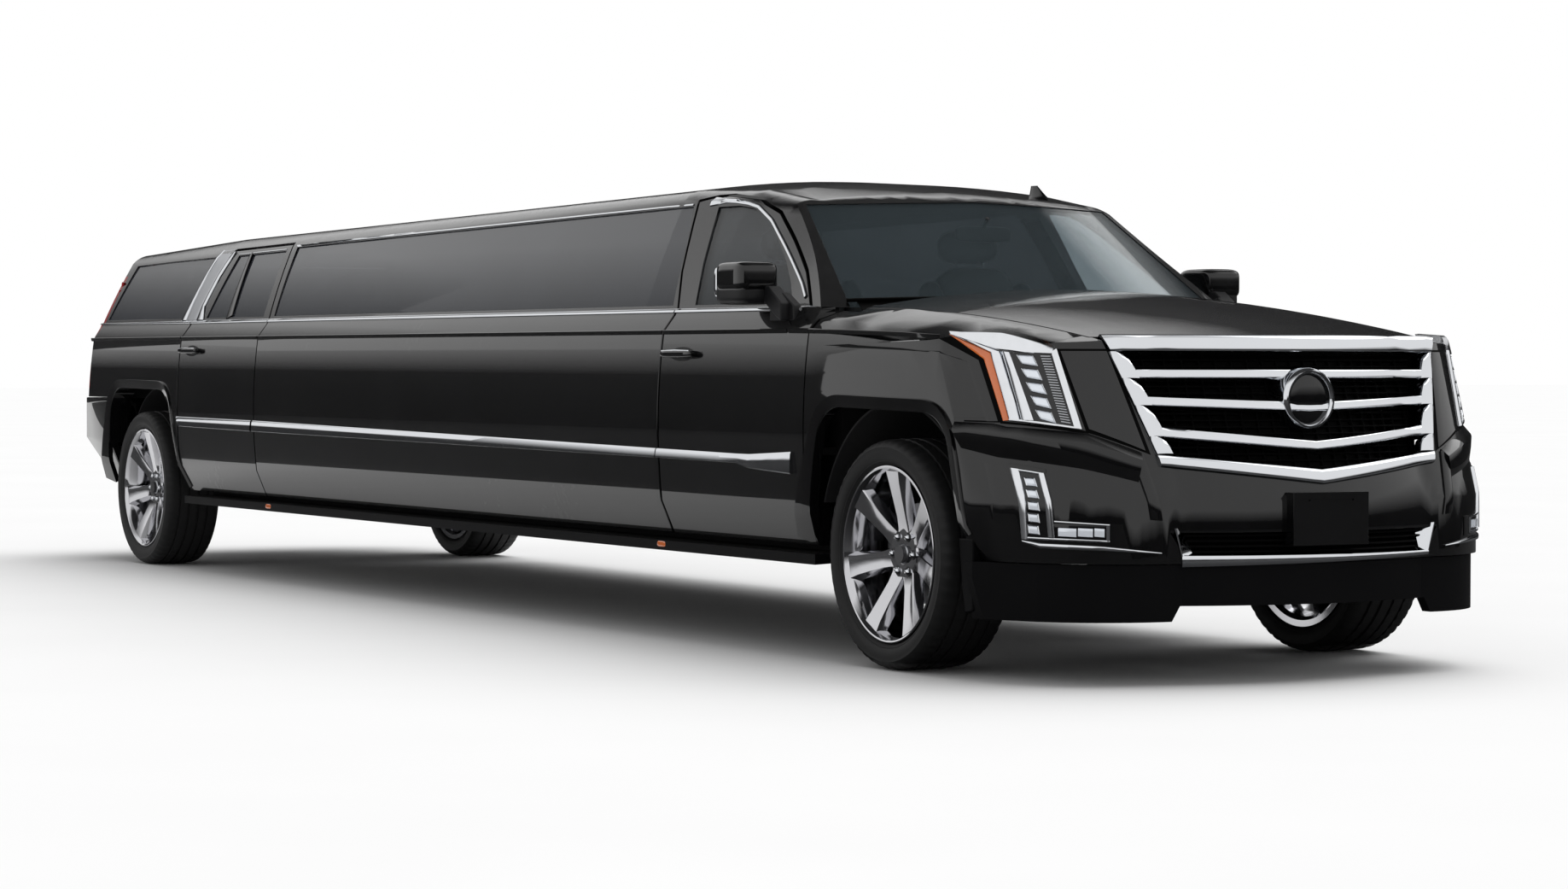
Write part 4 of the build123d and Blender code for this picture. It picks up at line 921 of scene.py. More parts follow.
# ---------- wheels
@dataclass(frozen=True)
class Wheel:
    """Tyre, seven-spoke rim and brake of one wheel.

    Attributes:
        end: front or rear.
        side: right or left.
        track: distance between the wheels' centre planes.
        radius: outer radius of the tyre.
        lug_circle: radius of the circle of nuts.
        steps: divisions round the tyre.
        caliper_place: where the caliper sits, in degrees from the top.
        caliper_turn: degrees between its blocks.
    """

    end: str
    side: str
    track: float = 1745
    radius: float = 395
    spokes: int = 7
    lugs: int = 6
    lug_circle: float = 67
    steps: int = 168
    caliper_blocks: int = 7
    caliper_place: float = 62
    caliper_turn: float = 6.2

    @property
    def name(self) -> str:
        """The wheel's name."""
        return f"{self.end}_{self.side}"

    @property
    def centre(self) -> Vector:
        """Its centre."""
        return Vector((0 if self.end == "front" else REAR_AXLE, self.out.y * self.track / 2, self.radius))

    @property
    def out(self) -> Vector:
        """Direction away from the car."""
        return Vector((0, -1 if self.side == "right" else 1, 0))

    def spot(self, angle: float, r: float, across: float, out: float) -> Vector:
        """A point of the wheel.

        Args:
            angle: direction from the centre in radians, 0 straight up.
            r: distance along that direction.
            across: distance at right angles to it in the wheel's plane.
            out: distance from the centre plane.

        Returns:
            The point in millimetres.
        """
        ray = Vector((math.sin(angle), 0, math.cos(angle)))
        side = Vector((math.cos(angle), 0, -math.sin(angle)))
        return self.centre + ray * r + side * across + self.out * out

    def tyre(self) -> Shape:
        """Sidewalls with fine ribs, four grooves and cross cuts in the shoulders."""
        wall = [(303, 117), (307, 125), (316, 131.5), (318, 134), (321, 134), (323, 136), (338, 140.5),
                (352, 142.4), (364, 141.6), (366, 142.4), (369, 140.8), (378, 136), (386, 127), (390.5, 115)]
        tread = [
            (392.5, 102), (393.2, 80), (385, 78), (385, 70), (394, 68), (394.6, 32), (386, 30), (386, 21),
            (395, 19)]
        half = wall + tread
        profile = half + [(r, -w) for r, w in reversed(half)]
        shape, rows = Shape(), []
        for k in range(self.steps):
            angle = 2 * math.pi * k / self.steps
            cut, sipe = k % 3 == 0, k % 3 == 1
            row = []
            for r, w in profile:
                deep = 4.5 if cut and abs(w) >= 80 and r > 377 else 0
                if sipe and r > 390 and 30 < abs(w) < 70:
                    deep = 2.5
                row.append(self.spot(angle, r - deep, 0, w))
            rows.append(row)
        return shape.rows(rows, ring=True, around=True)

    def spoke(self, angle: float) -> Shape:
        """One spoke: a flat face that rises outwards from the hub, with canted flanks."""
        stations = (
            (52, 40, 64, 40), (88, 33, 68, 42), (125, 30, 76, 42), (185, 33, 92, 40), (245, 37, 108, 36),
            (284, 44, 117, 30))
        across = ((-1.25, 1), (-1, 0.16), (-0.9, 0), (0, 0.05), (0.9, 0), (1, 0.16), (1.25, 1))
        rows = [
            [self.spot(angle, r, half * t, face - deep * d) for t, d in across]
            for r, half, face, deep in stations]
        return Shape().rows(rows, around=True, caps=True)

    def rim(self) -> Shape:
        """Barrel with a bright lip, the spokes and the hub."""
        lip = [
            (303, 117.5), (303, 129), (299, 130.4), (294, 129), (287, 119), (281, 108), (276, 60), (262, 20),
            (256, -60), (266, -112), (280, -128), (303, -130), (303, -117), (288, -104), (284, 92)]
        shape = Shape().lathe(lip + lip[:1], self.centre, self.out, 112)
        for k in range(self.spokes):
            shape.add(self.spoke(2 * math.pi * (k + 0.03) / self.spokes))
        hub = [(0, 60), (30, 60), (34, 66), (50, 67), (86, 66), (92, 60), (92, 20), (0, 20)]
        return shape.add(Shape().lathe(hub, self.centre, self.out, 56))

    def lug_spots(self) -> list[Vector]:
        """Centres of the wheel nuts on the hub's face."""
        return [
            self.spot(2 * math.pi * (k + 0.5) / self.lugs, self.lug_circle, 0, 66) for k in range(self.lugs)]

    def build(self) -> None:
        """Make the wheel's pieces and put them on its body."""
        body = "wheel_" + self.name
        tyre = self.tyre().piece("tyre_tread_" + self.name, TYRE, body, angle=38, slot="tyre")
        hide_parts("tyre_" + self.name)
        rim = self.rim().piece("alloy_" + self.name, RIM, body, angle=30, slot="rim_chrome")
        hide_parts("rim_" + self.name)
        wells, nuts = Shape(), Shape()
        for spot in self.lug_spots():
            wells.lathe([(0, 0.4), (10, 0.4), (15.5, 1.6), (17.5, 0.8), (17.5, -3)], spot, self.out, 20)
            nuts.lathe([(0, 15), (6, 14), (9, 10.5), (11, 8), (11.5, 0)], spot, self.out, 6)
        wells.piece("lug_wells_" + self.name, PLASTIC, body)
        nuts.piece("lug_nuts_" + self.name, CHROME, body, angle=25)
        cap = [(0, 73.5), (20, 73), (29, 71), (33, 66.5), (33, 60)]
        Shape().lathe(cap, self.centre, self.out, 40).piece("hub_cap_" + self.name, SATIN, body)
        disc = [(0, 14), (86, 14), (90, 2), (172, 2), (172, -4), (160, -6), (160, -14), (172, -16),
                (172, -22), (80, -22), (0, -22)]
        Shape().lathe(disc, self.centre, self.out, 72).piece("brake_disc_" + self.name, BRAKE, body)
        carrier = "knuckle_" + self.side if self.end == "front" else "body"
        grip, place_at = Shape(), self.caliper_place * (-1 if self.end == "front" else 1)
        for step in range(self.caliper_blocks):
            angle = math.radians(place_at + self.caliper_turn * (step - self.caliper_blocks // 2))
            low, high = self.spot(angle, 118, -11, -34), self.spot(angle, 186, 11, 18)
            grip.box([min(a, b) for a, b in zip(low, high)], [max(a, b) for a, b in zip(low, high)])
        grip.piece("brake_caliper_" + self.name, CAST, carrier, bevel=3)


# ---------- lamps
def light_cell(corners: Line, middle: Pair, inset: float) -> tuple[Shape, Shape]:
    """One light cell.

    Args:
        corners: its four corners on the nose.
        middle: the point that its inner edge shrinks towards.
        inset: how far it shrinks, as a share.

    Returns:
        Its bright rim and its clear block.
    """
    loop = [*corners, corners[0]]
    inner = [(mix(y, middle[0], inset), mix(z, middle[1], inset)) for y, z in loop]
    rim = Shape().band(NOSE, inner, loop, 5, base=2, rim=RIDGE)
    return rim, Shape().band(NOSE, inner[:2], [inner[3], inner[2]], 3, base=2, step=12)


def lamp_pieces(*rows: tuple[str, Shape, Look, str]) -> None:
    """Pieces of a pair of lamps, each given by name, right-hand shape, finish and record slot."""
    for name, shape, look, slot in rows:
        shape.both().piece(name, look, slot=slot)


@dataclass(frozen=True)
class Headlamps:
    """Stacked headlamps: bright frame, column of cells, ribbed light guide and an amber edge.

    Attributes:
        panel: corners of the dark panel, from its top outer one.
        edge: outer edge of the lamp.
        rib: line between the amber edge and the bright frame.
        frame: a broad top that tapers to the tip, two outer ribs, a slim inner edge and the foot.
        under_seam: the seam below the lamp.
        cells: number of light cells.
        cell_across: shares of the panel's width at a cell's corners.
        cell_low: share of a cell's pitch at which its foot lies.
        cell_gap: share of the pitch left above it.
        slant: how far a cell's corners climb outwards.
        guide: shares of the panel's width that the light guide spans.
        guide_rows: number of ribs in it.
        guide_rib: a rib's share of the panel's height.
    """

    panel: Line = ((910, 1081), (820, 1078), (796, 838), (885, 861))
    edge: Line = ((988, 1132), (948, 1058), (937, 858))
    rib: Line = ((981, 1144), (934, 1082), (924, 861))
    frame: tuple[Strip, ...] = (
        Strip(
            ((979, 1141), (926, 1092), (880, 1080), (819, 1077)),
            ((981, 1154), (916, 1146), (842, 1112), (812, 1096)), 8, CANTED, 1, 20),
        Strip(((976, 1140), (922, 1086), (909, 861)), rib, 9),
        Strip(((909, 1082), (884, 861)), ((920, 1086), (907, 861)), 12, RIDGE),
        Strip(((820, 1082), (795, 836)), ((804, 1094), (775, 833)), 9),
        Strip(((924, 858), (776, 829)), ((923, 868), (779, 839)), 8),
    )
    under_seam: Strip = Strip(
        ((938, 858), (772, 830), (760, 826)), ((938, 850), (772, 821), (760, 818)), 1.5, FLAT)
    cells: int = 5
    cell_across: tuple[float, ...] = (0.12, 0.53, 0.57, 0.18)
    cell_low: float = 0.98
    cell_gap: float = 0.16
    slant: tuple[float, ...] = (0.012, 0, 0.004, 0.03)
    guide: Pair = (0.70, 0.95)
    guide_rows: int = 26
    guide_rib: float = 0.022

    def inside(self, across: float, down: float) -> Pair:
        """A point of the dark panel, from its top outer corner."""
        tl, tr, br, bl = self.panel
        return tuple(mix(mix(tl[i], tr[i], across), mix(bl[i], br[i], across), down) for i in range(2))

    def build(self) -> None:
        """Make both lamps."""
        tl, tr, br, bl = self.panel
        shell = Shape().band(NOSE, [tl, bl], [tr, br], 2.5, step=20, rim=FLAT)
        rims, blocks, guide = Shape(), Shape(), Shape()
        for k in range(self.cells):
            top, low = (k + self.cell_gap) / self.cells, (k + self.cell_low) / self.cells
            downs = [at - climb for at, climb in zip((top, top, low, low), self.slant)]
            corners = [self.inside(across, down) for across, down in zip(self.cell_across, downs)]
            middle = tuple(sum(c[i] for c in corners) / 4 for i in range(2))
            rim, block = light_cell(corners, middle, 0.22)
            rims.add(rim)
            blocks.add(block)
        for k in range(self.guide_rows):
            t = mix(0.03, 0.97, k / self.guide_rows)
            low, high = [
                [self.inside(across, down) for across in self.guide] for down in (t, t + self.guide_rib)]
            guide.band(NOSE, low, high, 2, base=2.5)
        amber = Shape().band(NOSE, offset(self.rib, 0.5), offset(self.edge, -4), 7)
        seam = Shape().band(NOSE, offset(self.edge, -5), offset(self.edge, 4), 1.5, rim=FLAT)
        seam.strips(NOSE, [self.under_seam])
        patch = Shape().band(NOSE, offset(self.edge, 3), offset(self.edge, 20), 1.2, step=12, rim=FLAT)
        lamp_pieces(
            ("headlamp_border", patch, PAINT, "black_paint"), ("headlamp_panel", shell, GLOSS, "lamp_lens"),
            ("headlamp_frame", Shape().strips(NOSE, self.frame), REFLECTOR, "lamp_lens"),
            ("headlamp_cell_rims", rims, REFLECTOR, "lamp_lens"),
            ("headlamp_cells", blocks, LED, "lamp_lens"), ("headlamp_guide", guide, SATIN, "lamp_lens"),
            ("headlamp_amber", amber, AMBER, "lamp_lens"), ("headlamp_seam", seam, RUBBER, "lamp_lens"))


@dataclass(frozen=True)
class CornerLamps:
    """L-shaped lamps low in the bumper.

    Attributes:
        blade: the bright blade below the lamp.
        column: heights of the top and the foot of the column of cells.
        foot_cells: half width of the outer end, and width, of each cell in the foot.
    """

    shell: tuple[Strip, ...] = (
        Strip(((932, 704), (922, 477)), ((879, 690), (866, 477)), 2.5, FLAT),
        Strip(((870, 530), (735, 529)), ((868, 477), (735, 470)), 2.5, FLAT),
    )
    cover: tuple[Strip, ...] = (
        Strip(((972, 722), (970, 474)), ((934, 712), (924, 474)), 2.5, FLAT),
        Strip(((936, 722), (876, 704)), ((934, 707), (876, 692)), 2.5, FLAT),
        Strip(((734, 532), (734, 466)), ((698, 530), (698, 464)), 2.5, FLAT),
    )
    frame: tuple[Strip, ...] = (
        Strip(((935, 707), (925, 477)), ((921, 703), (915, 477)), 9),
        Strip(((934, 707), (880, 692)), ((932, 697), (882, 683)), 8),
        Strip(((891, 690), (880, 484)), ((879, 691), (866, 484)), 11),
        Strip(((868, 540), (736, 530)), ((868, 532), (736, 523)), 7),
        Strip(((922, 486), (736, 478)), ((922, 477), (736, 470)), 7),
        Strip(((745, 527), (745, 472)), ((735, 527), (735, 472)), 7),
    )
    blade: Strip = Strip(
        ((922, 467), (895, 448), (753, 443), (579, 433)), ((924, 474), (895, 466), (753, 459), (579, 438)), 9)
    cells: int = 5
    column: Pair = (678, 486)
    foot_cells: Line = ((860, 40), (816, 36), (776, 26))

    def build(self) -> None:
        """Make both lamps."""
        rims, blocks = Shape(), Shape()
        for k in range(self.cells):
            top, low = mix(*self.column, (k + 0.06) / self.cells), mix(*self.column, (k + 0.84) / self.cells)
            corners = [(917, top + 3), (899, top), (896, low), (915, low + 3)]
            rim, block = light_cell(corners, (907, (top + low) / 2), 0.3)
            rims.add(rim)
            blocks.add(block)
        for y, wide in self.foot_cells:
            blocks.band(NOSE, [(y, 517), (y - wide, 515)], [(y, 490), (y - wide, 488)], 4, base=2, step=14)
        shell, cover, frame = [Shape().strips(NOSE, table) for table in (self.shell, self.cover, self.frame)]
        lamp_pieces(
            ("corner_lamp_shell", shell, GLOSS, "lamp_lens"),
            ("corner_lamp_frame", frame, REFLECTOR, "lamp_lens"),
            ("corner_lamp_rims", rims, REFLECTOR, "lamp_lens"),
            ("corner_lamp_cells", blocks, LED, "lamp_lens"),
            ("corner_lamp_cover", cover, PAINT, "black_paint"),
            ("corner_lamp_strip", Shape().strips(NOSE, [self.blade]), CHROME, "chrome"))


@dataclass(frozen=True)
class TailLamps:
    """Tall tail lamps: rows of cells behind a red lens, a bright back and a bright inner edge.

    Attributes:
        belt: height at which the lamp bends.
        cell_edge: half width and height of the line that the cells follow.
        cell_span: where a cell begins and ends outside that line.
        back_edge: inner edge of the back.
        back_wide: greatest width of the back.
    """

    low: float = 915
    high: float = 1480
    belt: float = 1240
    rows: int = 14
    cell_edge: Line = ((842, 905), (856, 1245), (772, 1500))
    cell_span: Pair = (8, 60)
    cell_height: float = 24
    back_wide: float = 110
    back_edge: Line = ((838, 905), (853, 1245), (768, 1500))

    def build(self) -> None:
        """Make both lamps."""
        cells, bars, backs = Shape(), Shape(), Shape()
        for k in range(self.rows):
            z = mix(self.low, self.high - 30, k / (self.rows - 1))
            y = along(self.cell_edge, z, 1)
            low, high = [[(y + across, at) for across in self.cell_span] for at in (z, z + self.cell_height)]
            cells.band(TAIL, low, high, 6, base=-26, step=20, rim=RIDGE)
        for span in ((self.low, self.belt), (self.belt, self.high)):
            edge = [(along(self.back_edge, z, 1), z) for z in span]
            outer = [(min(y + self.back_wide, BODY.side_y(-8300, z) - 70), z) for y, z in edge]
            backs.band(TAIL, edge, outer, 2, base=-42, rim=FLAT)
            bars.band(TAIL, edge, [(y + 7, z) for y, z in edge], 3)
        lamp_pieces(
            ("tail_lamp_cells", cells, RED, "tail_lens"), ("tail_lamp_backs", backs, REFLECTOR, "tail_lens"),
            ("tail_lamp_edges", bars, CHROME, "chrome"))


# ---------- front
@dataclass(frozen=True)
class Grille:
    """Bright frame with three blades that dip to the middle, a ring and dark vanes behind.

    Attributes:
        flank: half width and height at the top and the foot of the frame's outer edge.
        opening_top: height of the opening's top.
        opening_low: heights of its foot at the sides and in the middle.
        blades: height of each blade's ends and how far its middle dips.
        blade_half: half a blade's height.
        side_reach: share of the way down between two blades, and the upright's width there.
        ring: station, height and radius of the ring.
        ring_profile: its section as a share of the radius and a distance forward.
        disc_profile: the same for the disc.
        vane_rows: number of level vanes.
        vane_span: heights that they lie between.
        vane_columns: number of upright vanes.
        vane_pitch: distance between those.
    """

    flank: Line = ((680, 1140), (556, 712))
    opening_top: float = 1082
    opening_low: Pair = (752, 700)
    blades: Line = ((1012, 0), (924, 20), (824, 46))
    blade_half: float = 16
    side_reach: Line = ((0, 26), (0.12, 44), (0.3, 56), (0.6, 62), (1, 64))
    ring: Triple = (1020, 930, 105)
    ring_profile: Line = (
        (0.76, -30), (0.76, 6), (0.79, 15), (0.84, 20), (0.9, 20), (0.96, 14), (1, 4), (1.05, -60))
    disc_profile: Line = ((0, 12), (0.5, 10.5), (0.74, 6), (0.8, 4), (0.8, -10))
    vane_rows: int = 17
    vane_span: Pair = (722, 1074)
    vane_columns: int = 19
    vane_pitch: float = 58

    def edge(self, z: float) -> float:
        """Half width of the outline at a height."""
        return along(self.flank, z, 1)

    def side(self) -> Shape:
        """The right-hand upright, whose inner edge widens above each blade."""
        heights = [self.opening_top, *(z for z, _ in self.blades), self.opening_low[0]]
        outer, inner = [], []
        for k, (top, low) in enumerate(zip(heights, heights[1:])):
            start = top - (self.blade_half if k else 0)
            stop = low - (self.blade_half if k < len(self.blades) else 0)
            for share, reach in self.side_reach:
                z = mix(start, stop, share)
                outer.append((self.edge(z), z))
                inner.append((self.edge(z) - reach, z))
        return Shape().band(NOSE, inner, outer, 15, step=60, base=-2)

    def build(self) -> None:
        """Make the grille."""
        wide = self.edge(self.opening_top)
        top = [(-680, 1140), (0, 1140), (680, 1140)]
        under = [(-wide + 8, self.opening_top), (0, self.opening_top), (wide - 8, self.opening_top)]
        frame = Shape().band(NOSE, under, top, 18, step=40, base=-2)
        low = [(-558, 713), (0, 652), (558, 713)]
        high = [(-566, self.opening_low[0]), (0, self.opening_low[1]), (566, self.opening_low[0])]
        frame.band(NOSE, low, high, 15, step=40, base=-2)
        frame.add(self.side().both())
        for z, dip in self.blades:
            reach, h = self.edge(z), self.blade_half
            spine = [(-reach, z), (-130, z - dip * 0.8), (0, z - dip), (130, z - dip * 0.8), (reach, z)]
            low = [(y * (1 - 12 / reach), v - h) for y, v in spine]
            high = [(y * (1 - 66 / reach), v + h) for y, v in spine]
            frame.band(NOSE, low, high, 26, step=40, base=-16)
        piece = frame.piece("grille_frame", CHROME, slot="chrome")
        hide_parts("grille")
        x, z, r = self.ring
        for name, look, slot, profile, steps in (
                ("grille_ring", CHROME, "chrome", self.ring_profile, 72),
                ("grille_disc", GLOSS, "black_plastic", self.disc_profile, 60)):
            turned = Shape().lathe(
                [(r * share, ahead) for share, ahead in profile], (x, 0, z), (1, 0, 0), steps)
            turned.piece(name, look, slot=slot)
        vanes = Shape()
        for k in range(self.vane_rows):
            v = mix(*self.vane_span, k / (self.vane_rows - 1))
            reach = self.edge(v) - 70
            low, high = [[(-reach, at), (0, at), (reach, at)] for at in (v - 3, v + 3)]
            vanes.band(NOSE, low, high, 10, step=90, base=-56)
        for k in range(self.vane_columns):
            y = (k - self.vane_columns // 2) * self.vane_pitch
            low, high = [[(at, 715), (at, 1078)] for at in (y - 3, y + 3)]
            vanes.band(NOSE, low, high, 10, step=90, base=-58)
        vanes.piece("grille_vanes", RUBBER)


@dataclass(frozen=True)
class FrontBumper:
    """Intake with its bright surround and slats, the shoulder over the corner lamps, arch flares and spats.

    Attributes:
        intake: lower edge of the intake.
        intake_end: top and foot of its outer end, then of the end panel's inner edge.
        slats: heights of the slats.
        slat_end: half width and height of their ends.
        corner_paint: the shoulder and the ridge inboard of the lamp.
        side_panel: panel between the grille and the headlamp.
        seams: seam round that panel and seam over the shoulder.
        front_arch: corners of the front wheel arch from its axle.
        rear_arch: corners of the rear wheel arch from its axle.
        arch_radius: how round those corners are.
        flare: width and lift of the arch flares.
        spat: outline of the spat before the front wheel.
    """

    intake: Line = ((504, 420), (-504, 420))
    intake_end: Line = ((532, 515), (504, 417), (486, 511), (468, 434))
    slats: tuple[float, ...] = (436, 454, 472, 490)
    slat_end: Line = ((478, 420), (534, 500))
    corner_paint: tuple[Strip, ...] = (
        Strip(
            ((1002, 768), (951, 740), (911, 730), (790, 706), (640, 664)),
            ((1002, 856), (948, 852), (930, 842), (765, 824), (613, 760)), 22, SHOULDER, 0, 20),
        Strip(((648, 742), (614, 545)), ((608, 752), (574, 541)), 9),
    )
    side_panel: Strip = Strip(((796, 1086), (757, 834)), ((666, 1086), (600, 764)), 4.5, FLAT, 0, 24)
    seams: tuple[Strip, ...] = (
        Strip(((806, 1094), (766, 824)), ((655, 1094), (584, 752)), 1.2, FLAT, 0, 24),
        Strip(((1003, 860), (936, 858)), ((1003, 855), (936, 853)), 1, FLAT),
    )
    front_arch: Line = ((-560, 404), (-425, 896), (365, 880), (478, 474))
    rear_arch: Line = ((-560, 404), (-430, 908), (400, 900), (556, 404))
    arch_radius: float = 170
    flare: Pair = (46, 11)
    spat: Line = ((430, 470), (520, 470), (520, 232), (470, 222), (452, 300))

    def build(self) -> None:
        """Make the bumper's details."""
        around = Shape().trim(NOSE, self.intake, 3, 13, 8, step=50, base=-2)
        top, foot, inner_top, inner_foot = self.intake_end
        rows = []
        for t in (0, 0.5, 1):
            (y, z), (v, w) = [
                (mix(a[0], b[0], t), mix(a[1], b[1], t)) for a, b in ((top, foot), (inner_top, inner_foot))]
            sunk = mix(-44, -12, t)
            spots = ((y, z, -60), (y, z, 5), (mix(y, v, 0.12), z, 6), (v, w, sunk), (v, w, -62))
            rows.append([NOSE.point(*spot) for spot in spots])
        around.add(Shape().rows(rows, around=True, caps=True).both())
        around.piece("intake_surround", CHROME, slot="chrome")
        slats = Shape()
        for z in self.slats:
            reach = along(self.slat_end, z, 1)
            low, high = [[(-reach, at), (reach, at)] for at in (z - 4, z + 4)]
            slats.band(NOSE, low, high, 12, step=80, base=-34)
        slats.band(NOSE, [(-545, 416), (545, 416)], [(-545, 504), (545, 504)], 4, step=80, base=-60, rim=FLAT)
        slats.piece("intake_slats", RUBBER)
        self.corner()

    def corner(self) -> None:
        """Shoulder, inner ridge, panel beside the grille, seams, arch flares and spats of both corners."""
        for name, table, look, slot in (
                ("bumper_shoulder", self.corner_paint, PAINT, "black_paint"),
                ("grille_side_panel", [self.side_panel], PAINT, "black_paint"),
                ("front_seams", self.seams, RUBBER, "")):
            Shape().strips(NOSE, table).both().piece(name, look, slot=slot)
        wide, lift = self.flare
        for axle, corners, name in ((0, self.front_arch, "front"), (REAR_AXLE, self.rear_arch, "rear")):
            line = [(x + axle, z) for x, z in rounded(corners, self.arch_radius)]
            flare = Shape().band(FLANK, line, offset(line, wide), lift, rim=FLARE)
            flare.both().piece("arch_flare_" + name, PAINT, slot="black_paint")
        Shape().prism(self.spat, -985, -880).both().piece("front_spats", VALANCE, bevel=6)


@dataclass(frozen=True)
class Wipers:
    """Two wipers parked along the foot of the screen, and the dark seal along that foot.

    Attributes:
        arms: half width of each pivot, and of its blade's two ends, right positive.
        foot: half width and height of the seal's edges.
        rest: height of a blade's ends and how far its middle rises.
        steps: points along a blade.
    """

    arms: tuple[Triple, ...] = ((330, 800, 60), (-420, 20, -700))
    foot: Line = ((770, 1226), (762, 1272))
    rest: Pair = (1262, 8)
    steps: int = 12

    def build(self) -> None:
        """Make the wipers."""
        blades, arms = Shape(), Shape()
        for pivot, start, end in self.arms:
            low, rise = self.rest
            shares = [k / self.steps for k in range(self.steps + 1)]
            path = [(mix(start, end, t), low + rise * math.sin(math.pi * t)) for t in shares]
            blades.tube([SCREEN.point(y, z, 12) for y, z in path], 5.5, 8)
            blades.tube([SCREEN.point(y, z, 4) for y, z in path], 2.6, 6)
            middle = (start + end) / 2
            bent = ((0, 1240, 8), (0.2, 1246, 24), (0.8, 1264, 26), (1, 1268, 18))
            path = [SCREEN.point(mix(pivot, middle, t), z, lift) for t, z, lift in bent]
            arms.tube(path, [13, 9, 6, 5], 8)
        low, high = [[(-reach, z), (0, z), (reach, z)] for reach, z in self.foot]
        foot = Shape().band(SCREEN, low, high, 1.5, step=60, rim=FLAT)
        foot.piece("screen_foot", RUBBER)
        blades.piece("wiper_blades", RUBBER)
        arms.piece("wiper_arms", PLASTIC, bevel=1)


# ---------- sides
class Panel(Enum):
    """Bodies along the side, from the front, with the stations that each one spans."""

    FRONT_DOOR = ("front_door", -1661, -549)
    SIDE = ("body", -5876, -1669)
    REAR_DOOR = ("rear_door", -6931, -5884)
    QUARTER = ("body", -8318, -6939)

    def bodies(self) -> tuple[str, str]:
        """Its right-hand and left-hand body."""
        name = self.value[0]
        return (name, name) if name == "body" else (name + "_right", name + "_left")

    def span(self, line: Line) -> list[Pair]:
        """The part of a line of (station, height) that lies on this panel."""
        _, back, front = self.value
        rows = sorted(line)
        inside = [p for p in rows if back < p[0] < front]
        low, high = max(back, rows[0][0]), min(front, rows[-1][0])
        return [(low, along(rows, low)), *inside, (high, along(rows, high))]


